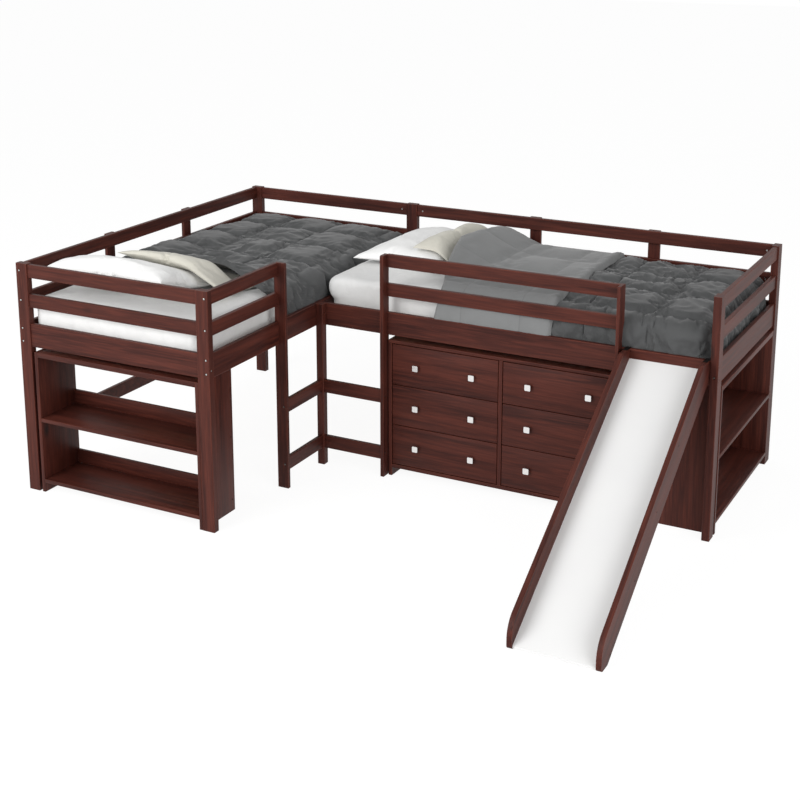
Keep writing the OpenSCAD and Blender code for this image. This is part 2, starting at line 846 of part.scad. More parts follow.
module dresser_runners() {
    color(steel) placed()
        for (column = [0, 1], row = [0:drawer_rows - 1])
            translate([column_x(column), -side_face + panel_thick + drawer_box + drawer_gap,
                front_z(row) + runner_lift]) {
                runner();
                translate([column_width, 0, 0]) mirror([1, 0, 0]) runner();
            }
}

// A drawer: front, two sides, back and bottom, each its own board
module drawer(column, row) {
    x = column_x(column) + runner_space;
    y = -side_face + panel_thick;
    z = front_z(row) + drawer_box_lift;
    w = column_width - 2 * runner_space;
    inside = w - 2 * drawer_side - 2 * glue_line;
    placed() {
        color(wood)
            board_x([column_x(column) + drawer_gap, -side_face, front_z(row)], front_width,
                panel_thick, front_height);
        color(pale_wood) {
            for (side = [x, x + w - drawer_side])
                translate([side, y + glue_line, z])
                    cube([drawer_side, drawer_box - glue_line, drawer_box_height]);
            translate([x + drawer_side + glue_line, y + drawer_box - drawer_side, z])
                cube([inside, drawer_side, drawer_box_height]);
            translate([x + drawer_side + glue_line, y + glue_line, z + drawer_bottom_lift])
                cube([inside, drawer_box - drawer_side - 2 * glue_line, drawer_bottom]);
        }
    }
}

// A square knob with a bevelled face on a round stem
module knob() {
    rotate([90, 0, 0]) {
        cylinder(h = knob_stand + knob_bevel, d = knob_stem);
        translate([-knob_size / 2, -knob_size / 2, knob_stand])
            linear_extrude(knob_thick) polygon(eased(knob_size, knob_size, knob_bevel));
    }
}

module knob_pair(column, row) {
    color(steel) placed()
        for (x = [knob_inset, front_width - knob_inset])
            translate([column_x(column) + drawer_gap + x, -side_face, front_z(row) + front_height / 2])
                knob();
}

module drawer_left_top() { drawer(0, 0); }
module drawer_left_middle() { drawer(0, 1); }
module drawer_left_bottom() { drawer(0, 2); }
module drawer_right_top() { drawer(1, 0); }
module drawer_right_middle() { drawer(1, 1); }
module drawer_right_bottom() { drawer(1, 2); }
module knobs_left_top() { knob_pair(0, 0); }
module knobs_left_middle() { knob_pair(0, 1); }
module knobs_left_bottom() { knob_pair(0, 2); }
module knobs_right_top() { knob_pair(1, 0); }
module knobs_right_middle() { knob_pair(1, 1); }
module knobs_right_bottom() { knob_pair(1, 2); }

// Bookcases, drawn from the front left foot, open at the front

module bookcase() {
    inside = bookcase_width - 2 * shelf_thick - 2 * glue_line;
    for (x = [0, bookcase_width - shelf_thick])
        board_z([x, 0, 0], bookcase_height, shelf_thick, bookcase_depth);
    translate([shelf_thick + glue_line, 0, bookcase_height - bookcase_top])
        cube([inside, bookcase_depth, bookcase_top]);
    for (z = [middle_shelf, bottom_shelf]) {
        translate([shelf_thick + glue_line, 0, z]) cube([inside, bookcase_depth, shelf_thick]);
        translate([shelf_thick + glue_line, bookcase_depth - stop_thick, z + shelf_thick + glue_line])
            cube([inside, stop_thick, stop_height]);
    }
}

module bookcase_front() {
    color(wood) placed()
        translate([bed_width - post_width - bookcase_width, -bed_length, 0]) bookcase();
}

module bookcase_right() {
    color(wood) placed()
        translate([span, -post_width - bookcase_width, 0]) rotate([0, 0, 90]) bookcase();
}

// Bedding: closed skins through rings of points

function ring_skin(rings, points) = concat(
    [for (i = [0:rings - 2], j = [0:points - 1])
        [i * points + j, i * points + (j + 1) % points, (i + 1) * points + j]],
    [for (i = [0:rings - 2], j = [0:points - 1])
        [i * points + (j + 1) % points, (i + 1) * points + (j + 1) % points, (i + 1) * points + j]]
);
function fan_cap(first, points, flip) = [
    for (j = [1:points - 2])
        flip ? [first, first + j + 1, first + j] : [first, first + j, first + j + 1]
];

module skin(rings) {
    count = len(rings);
    points = len(rings[0]);
    polyhedron(
        points = [for (ring = rings, p = ring) p],
        faces = concat(
            ring_skin(count, points),
            fan_cap(0, points, true),
            fan_cap((count - 1) * points, points, false)
        ),
        convexity = 6
    );
}

function round_rectangle(w, l, r, z, steps = 4) = [
    for (corner = [0:3], i = [0:steps])
        let (
            a = -90 * corner - 90 * i / steps + 90,
            cx = (corner == 0 || corner == 1 ? 1 : -1) * (w / 2 - r),
            cy = (corner == 0 || corner == 3 ? 1 : -1) * (l / 2 - r)
        )
            [cx + r * cos(a), cy + r * sin(a), z]
];

crown_corner = 8;
// Each step is [draw in from the edge, share of the crown]
crown_steps = [[14, 0], [60, 0.35], [150, 0.7], [280, 0.93], [400, 1]];

// Each step is [draw in from the edge, height]: taped edges, a waisted side and a crown
mattress_steps = concat(
    [
        [12, 0], [3, 5], [0, 12], [4, 20], [8, mattress_height / 2], [4, mattress_height - 22],
        [0, mattress_height - 12], [3, mattress_height - 4]
    ],
    [for (step = crown_steps) [step[0], mattress_height + mattress_crown * step[1]]]
);

// Drawn about its middle, standing on z = 0, with its length along Y
module mattress() {
    skin([
        for (step = mattress_steps)
            round_rectangle(mattress_width - 2 * step[0], mattress_length - 2 * step[0],
                max(mattress_corner - step[0] / 2, crown_corner), step[1])
    ]);
}

bed_inside = min(bed_length - 2 * (rail_inset + rail_thick), span - rail_inset - rail_thick - side_face);
mattress_length = bed_inside - mattress_head_gap - mattress_foot_gap;
mattress_x = open_side - mattress_width / 2;
left_mattress_y = -bed_length + rail_inset + rail_thick + mattress_head_gap + mattress_length / 2;
right_mattress_x = side_face + mattress_head_gap + mattress_length / 2;

// A pillow about its middle, standing on z = 0, with its length along X.
// Its sides draw in between the corners, by a share of its size, and its seam stays thin.
pillow_rings = 15;
pillow_points = 18;
pillow_pinch = 0.07;
pillow_seam = 0.04;
function drawn_in(t) = 1 - pillow_pinch + pillow_pinch * pow(t, 4);
function plump(t, hard, soft) = pow(1 - pow(abs(t), hard), soft);

module pillow() {
    end_angle = 86;
    skin([
        for (i = [0:pillow_rings - 1])
            let (u = sin(-end_angle + 2 * end_angle * i / (pillow_rings - 1)))
                [for (j = [0:pillow_points - 1])
                    let (
                        a = -360 * j / pillow_points,
                        v = cos(a),
                        full = plump(u, 3.2, 0.55) * plump(v, 3, 0.6),
                        half = pillow_thick / 2 * (pillow_seam + (1 - pillow_seam) * full)
                    )
                        [
                            pillow_length / 2 * u * drawn_in(v), pillow_depth / 2 * v * drawn_in(u),
                            pillow_thick / 2 + half * sign(sin(a))
                        ]]
    ]);
}

// Two pillows at the head: one lies flat and the other leans on it.
// The flat one lies as high as the crown is this far past its middle line.
pillow_settle = 30;
module pillow_pair(aside) {
    head = -mattress_length / 2 + pillow_depth / 2;
    rest = mattress_height + mattress_crown + soft_gap;
    inward = pillow_depth / 2 + pillow_settle;
    near_head = mattress_height + mattress_crown * lookup(inward, crown_steps) + soft_gap;
    translate([-aside, head, near_head]) pillow();
    translate([aside, head + pillow_step, rest + pillow_lift]) rotate([-pillow_lean, 0, 0])
        translate([0, 0, -pillow_thick / 2]) pillow();
}

// The open side of each bed is the +X side of its bedding, and the head is at -Y
module on_left_bed() {
    placed() translate([mattress_x, left_mattress_y, bed_z + soft_gap]) children();
}

module on_right_bed() {
    placed() translate([right_mattress_x, -mattress_x, bed_z + soft_gap])
        rotate([0, 0, -90]) children();
}

module mattress_left() {
    color(sheet_white) on_left_bed() mattress();
}

module mattress_right() {
    color(sheet_white) on_right_bed() mattress();
}

module pillows_left() {
    color(sheet_white) on_left_bed() pillow_pair(pillow_aside);
}

module pillows_right() {
    color(sheet_white) on_right_bed() pillow_pair(-pillow_aside);
}

function quilt(x, y) = quilt_rise * pow(abs(sin(180 * x / quilt_box) * sin(180 * y / quilt_box)), 0.6);
function ramp(t) = let (c = min(max(t, 0), 1)) c * c * (3 - 2 * c);

// Outer and inner line across a comforter, from the wall side over the open side and down
top_steps = 11;
corner_steps = 3;
comforter_bend = 10;
edge_share = 2 / 3;
hang_wave = 0.6;
hem_share = 0.7;
hem_back = 2;
function across(y, skew, thick, hem) =
    let (
        half = mattress_width / 2,
        under = mattress_height + mattress_crown + soft_gap,
        bend = comforter_bend,
        pivot = [half + soft_gap - bend, under - bend],
        wave = comforter_wave * (0.5 + 0.5 * sin(360 * y / comforter_fold)),
        start = -half + comforter_inset,
        at = function(x, z) [x, y + skew * x / half, z]
    )
    concat(
        [for (i = [0:top_steps])
            let (x = start + (pivot[0] - start) * i / top_steps)
                at(x, under + (i == 0 ? thick * edge_share : thick + quilt(x, y)))],
        [for (i = [1:corner_steps])
            let (a = 90 - 90 * i / corner_steps, r = bend + thick + wave * i / corner_steps)
                at(pivot[0] + r * cos(a), pivot[1] + r * sin(a))],
        [
            at(half + soft_gap + thick + wave * hang_wave, (under + hem) / 2),
            at(half + soft_gap + thick * hem_share, hem),
            at(half + soft_gap + hem_back, hem),
            at(half + soft_gap, (under + hem) / 2)
        ],
        [for (i = [corner_steps:-1:1])
            let (a = 90 - 90 * i / corner_steps)
                at(pivot[0] + bend * cos(a), pivot[1] + bend * sin(a))],
        [for (i = [top_steps:-1:0])
            let (x = start + (pivot[0] - start) * i / top_steps)
                at(x, under)]
    );

function strip_cap(first, points, flip) = [
    for (k = [0:points / 2 - 2], half = [0, 1])
        let (
            a = first + k, b = first + k + 1,
            c = first + points - 1 - k, d = first + points - 2 - k,
            face = half == 0 ? [a, b, c] : [b, d, c]
        )
            flip ? [face[0], face[2], face[1]] : face
];

// A comforter from its head edge to its foot edge, doubled where it is folded back
steps_before = 8;
steps_after = 13;
fold_drop = 14;
doubled_thick = 1.4;
edge_thick = 0.55;
hem_wave = 8;

module comforter(head, foot, skew, fold) {
    turn = head + fold + fold_drop;
    stations = concat(
        [for (i = [0:steps_before]) head + fold * i / steps_before],
        [for (i = [0:steps_after]) turn + (foot - turn) * i / steps_after]
    );
    rings = [
        for (i = [len(stations) - 1:-1:0])
            let (
                y = stations[i],
                doubled = i <= steps_before ? doubled_thick : 1,
                end = i == 0 || i == len(stations) - 1 ? edge_thick : 1,
                fade = skew * (1 - ramp((y - head - fold) / (foot - head - fold))),
                hem = comforter_hem + hem_wave * sin(360 * y / comforter_fold)
            )
                across(y, fade, comforter_thick * doubled * end, hem)
    ];
    points = len(rings[0]);
    polyhedron(
        points = [for (ring = rings, p = ring) p],
        faces = concat(
            ring_skin(len(rings), points),
            strip_cap(0, points, true),
            strip_cap((len(rings) - 1) * points, points, false)
        ),
        convexity = 8
    );
}

comforter_foot = mattress_length / 2 - comforter_inset;

module comforter_left() {
    color(comforter_grey) on_left_bed()
        comforter(left_cover - mattress_length / 2, comforter_foot, left_skew, left_fold);
}

module comforter_right() {
    color(comforter_grey) on_right_bed()
        comforter(right_cover - mattress_length / 2, comforter_foot, right_skew, right_fold);
}

post_front_left();
post_front_right();
post_corner_outer();
post_corner_inner();
post_back_middle();
post_right_front();
post_right_back();
ladder_post_left();
ladder_post_right();
gate_post();
wall_uprights();
front_end_rails();
right_end_rails();
left_side_guards();
left_side_rail();
right_side_guards();
right_side_rail();
left_wall_rails();
back_left_rails();
back_right_rails();
wall_stretchers();
ladder_rungs_left();
ladder_rungs_right();
slat_ledgers();
slats_left();
slats_right();
frame_bolts();
barrel_nuts();
slide_boards();
slide_panel();
slide_battens();
slide_hooks();
dresser_side_panels();
dresser_top();
dresser_base();
dresser_back();
dresser_runners();
drawer_left_top();
drawer_left_middle();
drawer_left_bottom();
drawer_right_top();
drawer_right_middle();
drawer_right_bottom();
knobs_left_top();
knobs_left_middle();
knobs_left_bottom();
knobs_right_top();
knobs_right_middle();
knobs_right_bottom();
bookcase_front();
bookcase_right();
mattress_left();
mattress_right();
comforter_left();
comforter_right();
pillows_left();
pillows_right();
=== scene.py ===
"""L-shaped loft bed in stained pine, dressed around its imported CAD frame.

Metres, +Z up, in the part's own frame. X runs along the long back wall and Y from the
front to that wall.
"""

from __future__ import annotations

import json
import logging
import math
from collections.abc import Callable, Iterator, Sequence
from contextlib import contextmanager
from dataclasses import dataclass
from enum import Enum

import bmesh
import bpy
import numpy as np
from mathutils import Matrix, Vector, noise
from mathutils.bvhtree import BVHTree

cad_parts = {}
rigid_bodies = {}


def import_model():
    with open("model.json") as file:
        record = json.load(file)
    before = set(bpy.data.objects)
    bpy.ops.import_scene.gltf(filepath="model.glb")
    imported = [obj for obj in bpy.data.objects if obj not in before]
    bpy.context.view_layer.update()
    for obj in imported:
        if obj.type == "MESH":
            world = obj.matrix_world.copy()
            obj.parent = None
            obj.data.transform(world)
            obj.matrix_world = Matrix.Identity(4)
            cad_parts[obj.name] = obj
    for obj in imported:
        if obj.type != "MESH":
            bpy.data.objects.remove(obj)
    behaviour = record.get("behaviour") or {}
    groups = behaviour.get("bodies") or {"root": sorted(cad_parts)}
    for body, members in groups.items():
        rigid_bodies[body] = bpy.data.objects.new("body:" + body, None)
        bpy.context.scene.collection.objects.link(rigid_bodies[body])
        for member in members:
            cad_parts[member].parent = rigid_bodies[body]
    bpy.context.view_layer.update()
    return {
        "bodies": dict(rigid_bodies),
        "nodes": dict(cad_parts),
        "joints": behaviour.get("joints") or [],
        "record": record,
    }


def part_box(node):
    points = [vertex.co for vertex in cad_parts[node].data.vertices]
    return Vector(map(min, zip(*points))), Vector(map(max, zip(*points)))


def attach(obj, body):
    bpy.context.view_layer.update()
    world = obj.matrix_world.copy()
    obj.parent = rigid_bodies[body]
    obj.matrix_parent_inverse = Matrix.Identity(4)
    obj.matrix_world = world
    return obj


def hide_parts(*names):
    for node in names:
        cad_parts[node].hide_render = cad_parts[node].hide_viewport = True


log = logging.getLogger("loft_bed")

ROOT = "bed_frame"
GLUE_LINE = 0.0001
SEWN_BOX = 0.30
UV_START = 2
NOISE_SEED = 7
Point = tuple[float, float, float]
Grid = list[list[Vector]]
Nodes = dict[str, bpy.types.Object]
Socket = bpy.types.NodeSocket


# Node and mesh helpers


def linear(colour: str) -> tuple[float, float, float, float]:
    """Turns an sRGB hex colour into the linear values that shaders take.

    Args:
        colour: The colour as a mark and six hex digits.

    Returns:
        Linear red, green and blue, and an alpha of 1.
    """
    parts = (int(colour[i : i + 2], 16) / 255 for i in (1, 3, 5))
    red, green, blue = (
        p / 12.92 if p <= 0.04045 else ((p + 0.055) / 1.055) ** 2.4 for p in parts
    )
    return red, green, blue, 1.0


def add(
    tree: bpy.types.NodeTree,
    kind: str,
    inputs: dict[str | int, object],
    output: str | int = 0,
    **settings: object,
) -> Socket | None:
    """Adds one shader node with its settings and links.

    Args:
        tree: The node tree that gets the node.
        kind: The node's type, without the word all types start with.
        inputs: What each input holds: a socket to link, a hex colour or a plain value.
        output: Which of its outputs is wanted.
        **settings: Properties of the node.

    Returns:
        That output, or None where the node has none.
    """
    made = tree.nodes.new("ShaderNode" + kind)
    for name, value in settings.items():
        setattr(made, name, value)
    for name, value in inputs.items():
        if isinstance(value, Socket):
            tree.links.new(value, made.inputs[name])
        else:
            hexed = isinstance(value, str)
            made.inputs[name].default_value = linear(value) if hexed else value
    return made.outputs[output] if made.outputs else None


def alone(piece: bpy.types.Object) -> None:
    """Selects one piece, makes it active and deselects all others."""
    bpy.ops.object.select_all(action="DESELECT")
    piece.select_set(True)
    bpy.context.view_layer.objects.active = piece


@contextmanager
def editing(
    piece: bpy.types.Object, test: Callable[[bmesh.types.BMFace], bool]
) -> Iterator[None]:
    """Holds a piece in edit mode, with the faces selected that pass a test.

    Args:
        piece: The piece to edit.
        test: Says whether a face is wanted.

    Yields:
        Nothing.
    """
    alone(piece)
    bpy.ops.object.mode_set(mode="EDIT")
    bpy.ops.mesh.select_mode(type="FACE")
    bpy.ops.mesh.select_all(action="DESELECT")
    mesh = bmesh.from_edit_mesh(piece.data)
    for face in mesh.faces:
        face.select_set(test(face))
    bmesh.update_edit_mesh(piece.data)
    yield
    bpy.ops.object.mode_set(mode="OBJECT")


def primitive(operator: Callable[..., set[str]], **settings: object) -> bpy.types.Object:
    """Adds a primitive at its size and place, and moves these into its mesh.

    Args:
        operator: Blender's operator for the primitive.
        **settings: What that operator takes.

    Returns:
        The piece, alone selected.
    """
    bpy.ops.object.select_all(action="DESELECT")
    operator(**settings)
    made = bpy.context.active_object
    alone(made)
    bpy.ops.object.transform_apply(location=True, rotation=True, scale=True)
    return made


def apply_modifier(piece: bpy.types.Object, kind: str, **settings: object) -> None:
    """Adds one modifier to a piece and applies it.

    Args:
        piece: The piece to change.
        kind: The modifier's type.
        **settings: Properties of the modifier.
    """
    alone(piece)
    made = piece.modifiers.new(kind.lower(), kind)
    for name, value in settings.items():
        setattr(made, name, value)
    bpy.ops.object.modifier_apply(modifier=made.name)


def smooth(piece: bpy.types.Object, degrees: float) -> None:
    """Shades a piece smooth, apart from edges sharper than an angle."""
    alone(piece)
    bpy.ops.object.shade_smooth_by_angle(angle=math.radians(degrees))


def board(name: str, low: Point, high: Point, edge: float = 0.0015) -> bpy.types.Object:
    """Models one board with rounded edges.

    Args:
        name: The piece's name.
        low: Its lowest corner.
        high: Its highest corner.
        edge: Radius of its edges.

    Returns:
        The board, with its place in its mesh.
    """
    first, last = Vector(low), Vector(high)
    middle, size = (first + last) / 2, last - first
    made = primitive(bpy.ops.mesh.primitive_cube_add, size=1, location=middle, scale=size)
    made.name = name
    with editing(made, lambda face: True):
        bpy.ops.mesh.bevel(offset=edge, segments=2, affect="EDGES")
    smooth(made, 40)
    return made


def joined(name: str, parts: list[bpy.types.Object]) -> bpy.types.Object:
    """Joins several meshes into one piece.

    Args:
        name: The joined piece's name.
        parts: What to join.

    Returns:
        The joined piece.
    """
    alone(parts[0])
    for part in parts:
        part.select_set(True)
    bpy.ops.object.join()
    made = bpy.context.active_object
    made.name = name
    made.data.name = name
    return made


def declared(
    piece: bpy.types.Object,
    node: str = "",
    body: str = ROOT,
) -> None:
    """Tells the frame what a finished piece is.

    Args:
        piece: The piece.
        node: The CAD node it stands for, where there is one.
        body: The body it moves with.
    """
    if node:
        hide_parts(node)
    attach(piece, body)
    log.info("%s", piece.name)


def ramp(t: float) -> float:
    """A smooth step from 0 at 0 to 1 at 1."""
    c = min(max(t, 0.0), 1.0)
    return c * c * (3 - 2 * c)


# Finishes


class Grain(Enum):
    """The way a board's grain runs, as the scale of its pattern on X, Y and Z."""

    X = (0.05, 1.0, 1.0)
    Y = (1.0, 0.05, 1.0)
    Z = (1.0, 1.0, 0.05)


@dataclass(frozen=True)
class Finish:
    """A surface finish. Each kind gives its own nodes and values."""

    name: str

    def material(self) -> bpy.types.Material:
        """The finish's material, made at its first use."""
        found = bpy.data.materials.get(self.name)
        if found:
            return found
        made = bpy.data.materials.new(self.name)
        made.use_nodes = True
        tree = made.node_tree
        tree.nodes.clear()
        shader = add(tree, "BsdfPrincipled", self.fill(tree))
        add(tree, "OutputMaterial", {"Surface": shader})
        return made

    def fill(self, tree: bpy.types.NodeTree) -> dict[str | int, object]:
        """Adds the finish's own nodes.

        Args:
            tree: The material's node tree.

        Returns:
            What each input of its shader holds.
        """
        raise NotImplementedError

    def dress(self, piece: bpy.types.Object) -> bpy.types.Object:
        """Gives a piece this finish alone."""
        piece.data.materials.clear()
        piece.data.materials.append(self.material())
        return piece


@dataclass(frozen=True)
class StainedPine(Finish):
    """Planed pine under a dark red-brown stain and a satin lacquer.

    To the eye it is dark and warm, streaked along the grain, with a few small knots, a
    soft sheen on its faces and a painted highlight, a lighter and redder line, on each
    arris.
    """

    grain: Grain = Grain.X
    seed: float = 0.0
    slope: float = 0.0
    deep: str = "#301410"
    body: str = "#50271F"
    bright: str = "#6B3427"
    knot: str = "#1E1311"
    # Painted highlight: the lighter, redder tint laid on each rounded arris
    arris_highlight: str = "#8A4733"

    def fill(self, tree: bpy.types.NodeTree) -> dict[str | int, object]:
        """Draws figure, streaks, rings and knots along the grain, and a painted highlight
        on each arris.

        Args:
            tree: The material's node tree.

        Returns:
            What each input of its shader holds.
        """
        place = add(tree, "TexCoord", {}, "Object")
        turn = {"Vector": place, "Rotation": (self.slope, 0.0, 0.0)}
        turned = add(tree, "Mapping", turn)
        start = (self.seed, self.seed * 0.7, self.seed * 1.3)
        run = {"Vector": turned, "Scale": self.grain.value, "Location": start}
        along = add(tree, "Mapping", run)
        # Bands of 40 mm, streaks of 7 mm and pores of 2 mm, each twenty times as long
        figure, streak, pore = (
            add(
                tree,
                "TexNoise",
                {"Vector": along, "Scale": scale, "Detail": detail, "Distortion": bend},
                "Fac",
            )
            for scale, detail, bend in ((25, 4, 0.8), (140, 3, 0.3), (520, 2, 0))
        )
        waves = {"Vector": along, "Scale": 24, "Distortion": 7, "Detail": 2}
        rings = add(tree, "TexWave", waves, "Fac", bands_direction="DIAGONAL")
        # Knots are 280 mm apart, and twice that along the grain
        spread = {
            "Vector": turned,
            "Scale": tuple(0.5 if v < 1 else 1.0 for v in self.grain.value),
            "Location": (self.seed, self.seed, 0.0),
        }
        knots = {"Vector": add(tree, "Mapping", spread), "Scale": 3.6}
        cells = add(tree, "TexVoronoi", knots, "Distance")
        # Painted highlight: near each arris the colour turns lighter and redder, as where
        # light catches a rounded edge
        rounded = add(tree, "Bevel", {"Radius": 0.0025}, samples=4)
        flat = add(tree, "NewGeometry", {}, "Normal")
        facing = add(
            tree, "VectorMath", {0: rounded, 1: flat}, "Value", operation="DOT_PRODUCT"
        )
        tone, *shares, gloss = (
            add(
                tree,
                "MapRange",
                {"Value": value, "From Min": a, "From Max": b, "To Min": c, "To Max": d},
            )
            for value, a, b, c, d in (
                (figure, 0.32, 0.68, 0.0, 1.0),
                (streak, 0.45, 0.8, 0.0, 0.45),
                (rings, 0.0, 0.35, 0.25, 0.0),
                (cells, 0.02, 0.085, 0.9, 0.0),
                (facing, 0.99, 0.8, 0.0, 0.7),
                (streak, 0.0, 1.0, 0.42, 0.56),
            )
        )
        base = {0: tone, 6: self.deep, 7: self.body}
        colour = add(tree, "Mix", base, 2, data_type="RGBA")
        # The last share lays the painted highlight on the arrises
        for share, over in zip(shares, (self.bright, self.deep, self.knot, self.arris_highlight)):
            colour = add(tree, "Mix", {0: share, 6: colour, 7: over}, 2, data_type="RGBA")
        relief = {"Height": pore, "Strength": 0.25, "Distance": 0.0008, "Normal": rounded}
        return {
            "Base Color": colour,
            "Roughness": gloss,
            "IOR": 1.5,
            "Specular IOR Level": 0.16,
            "Normal": add(tree, "Bump", relief),
        }


@dataclass(frozen=True)
class BarePine(Finish):
    """Sanded softwood with no stain, on slats, ledgers and drawer boxes.

    To the eye it is pale yellow, matt, with wavy growth bands 20 mm apart.
    """

    grain: Grain = Grain.X

    def fill(self, tree: bpy.types.NodeTree) -> dict[str | int, object]:
        """Draws pale wood with soft growth bands.

        Args:
            tree: The material's node tree.

        Returns:
            What each input of its shader holds.
        """
        place = add(tree, "TexCoord", {}, "Object")
        along = add(tree, "Mapping", {"Vector": place, "Scale": self.grain.value})
        waves = {"Vector": along, "Scale": 22, "Distortion": 6, "Detail": 3}
        bands = add(tree, "TexWave", waves, "Fac", bands_direction="DIAGONAL")
        tints = {0: bands, 6: "#D6BC91", 7: "#CBAC7C"}
        fibre = add(tree, "TexNoise", {"Vector": along, "Scale": 400, "Detail": 2}, "Fac")
        relief = {"Height": fibre, "Strength": 0.3, "Distance": 0.0006}
        return {
            "Base Color": add(tree, "Mix", tints, 2, data_type="RGBA"),
            "Roughness": 0.7,
            "Normal": add(tree, "Bump", relief),
        }


@dataclass(frozen=True)
class Metal(Finish):
    """Plated, blackened or brushed metal.

    To the eye it has the tint of its own coat, and fine streaks blur what it mirrors.
    """

    colour: str
    lit: str
    rough: float

    def fill(self, tree: bpy.types.NodeTree) -> dict[str | int, object]:
        """Makes a metal with fine brushing.

        Args:
            tree: The material's node tree.

        Returns:
            What each input of its shader holds.
        """
        place = add(tree, "TexCoord", {}, "Object")
        fine = add(tree, "Mapping", {"Vector": place, "Scale": (1, 1, 18)})
        # Brush marks are 8 mm long and 0.5 mm apart
        brushed = add(tree, "TexNoise", {"Vector": fine, "Scale": 120, "Detail": 3}, "Fac")
        gloss = {"Value": brushed, "To Min": self.rough - 0.06, "To Max": self.rough + 0.06}
        tints = {0: brushed, 6: self.colour, 7: self.lit}
        return {
            "Base Color": add(tree, "Mix", tints, 2, data_type="RGBA"),
            "Roughness": add(tree, "MapRange", gloss),
            "Metallic": 1.0,
        }


@dataclass(frozen=True)
class Laminate(Finish):
    """White melamine on the sliding panel, pressed smooth.

    To the eye it is a plain cool white with a soft gloss and hardly any waviness.
    """

    def fill(self, tree: bpy.types.NodeTree) -> dict[str | int, object]:
        """Makes a white sheet with faint waviness.

        Args:
            tree: The material's node tree.

        Returns:
            What each input of its shader holds.
        """
        place = add(tree, "TexCoord", {}, "Object")
        cloud = add(tree, "TexNoise", {"Vector": place, "Scale": 5, "Detail": 2}, "Fac")
        tints = {0: cloud, 6: "#DEDEDE", 7: "#E4E4E3"}
        relief = {"Height": cloud, "Strength": 0.1, "Distance": 0.002}
        return {
            "Base Color": add(tree, "Mix", tints, 2, data_type="RGBA"),
            "Roughness": 0.28,
            "Normal": add(tree, "Bump", relief),
        }


@dataclass(frozen=True)
class Cotton(Finish):
    """Plain woven cotton, on sheets and pillow cases.

    To the eye it is matt and soft, with a hint of sheen, a faint weave and crumples.
    """

    colour: str = "#F8F8F7"
    shade: str = "#ECECEB"

    def fill(self, tree: bpy.types.NodeTree) -> dict[str | int, object]:
        """Draws a weave and soft creases.

        Args:
            tree: The material's node tree.

        Returns:
            What each input of its shader holds.
        """
        place = add(tree, "TexCoord", {}, "Object")
        crumples = {"Vector": place, "Scale": 14, "Detail": 5, "Distortion": 1.2}
        crease = add(tree, "TexNoise", crumples, "Fac")
        # Threads are 0.3 mm apart, and are drawn 2 mm apart so that they show
        weave = add(tree, "TexNoise", {"Vector": place, "Scale": 500, "Detail": 1}, "Fac")
        normal = add(tree, "Bump", {"Height": crease, "Strength": 0.35, "Distance": 0.012})
        relief = {"Height": weave, "Strength": 0.15, "Distance": 0.001, "Normal": normal}
        tints = {0: crease, 6: self.colour, 7: self.shade}
        return {
            "Base Color": add(tree, "Mix", tints, 2, data_type="RGBA"),
            "Roughness": 0.85,
            "Sheen Weight": 0.15,
            "Normal": add(tree, "Bump", relief),
        }


@dataclass(frozen=True)
class Microfibre(Finish):
    """Brushed microfibre, sewn in boxes, on the comforters.

    To the eye it is a dull grey with a cloudy nap, and a darker line at each seam.
    """

    colour: str = "#383939"
    shade: str = "#444546"
    thread: str = "#2C2D2E"
    line: float = 0.35

    def fill(self, tree: bpy.types.NodeTree) -> dict[str | int, object]:
        """Draws a soft nap, with a sewn line every box on the piece's own UV map.

        Args:
            tree: The material's node tree.

        Returns:
            What each input of its shader holds.
        """
        cloth = add(tree, "TexCoord", {}, "UV")
        place = add(tree, "TexCoord", {}, "Object")
        boxes = {0: cloth, 1: (SEWN_BOX,) * 3}
        sewn = add(tree, "VectorMath", boxes, operation="MODULO")
        half = SEWN_BOX / 2
        near = [
            add(
                tree,
                "Math",
                {0: add(tree, "SeparateXYZ", {"Vector": sewn}, axis), 1: half, 2: half},
                operation="PINGPONG",
            )
            for axis in (0, 1)
        ]
        seam = add(tree, "Math", {0: near[0], 1: near[1]}, operation="MINIMUM")
        edge = {"From Min": 0.001, "From Max": 0.004, "To Min": self.line, "To Max": 0.0}
        line = add(tree, "MapRange", {"Value": seam, **edge})
        clouds = {"Vector": place, "Scale": 9, "Detail": 6, "Distortion": 0.6}
        nap = add(tree, "TexNoise", clouds, "Fac")
        tints = {0: nap, 6: self.colour, 7: self.shade}
        colour = add(tree, "Mix", tints, 2, data_type="RGBA")
        # Fibres are too fine to show, and are drawn as a grain of 2 mm
        fibre = add(tree, "TexNoise", {"Vector": place, "Scale": 450, "Detail": 2}, "Fac")
        relief = {"Height": fibre, "Strength": 0.2, "Distance": 0.001}
        threads = {0: line, 6: colour, 7: self.thread}
        return {
            "Base Color": add(tree, "Mix", threads, 2, data_type="RGBA"),
            "Roughness": 0.75,
            "Sheen Weight": 0.2,
            "Normal": add(tree, "Bump", relief),
        }


# The studio


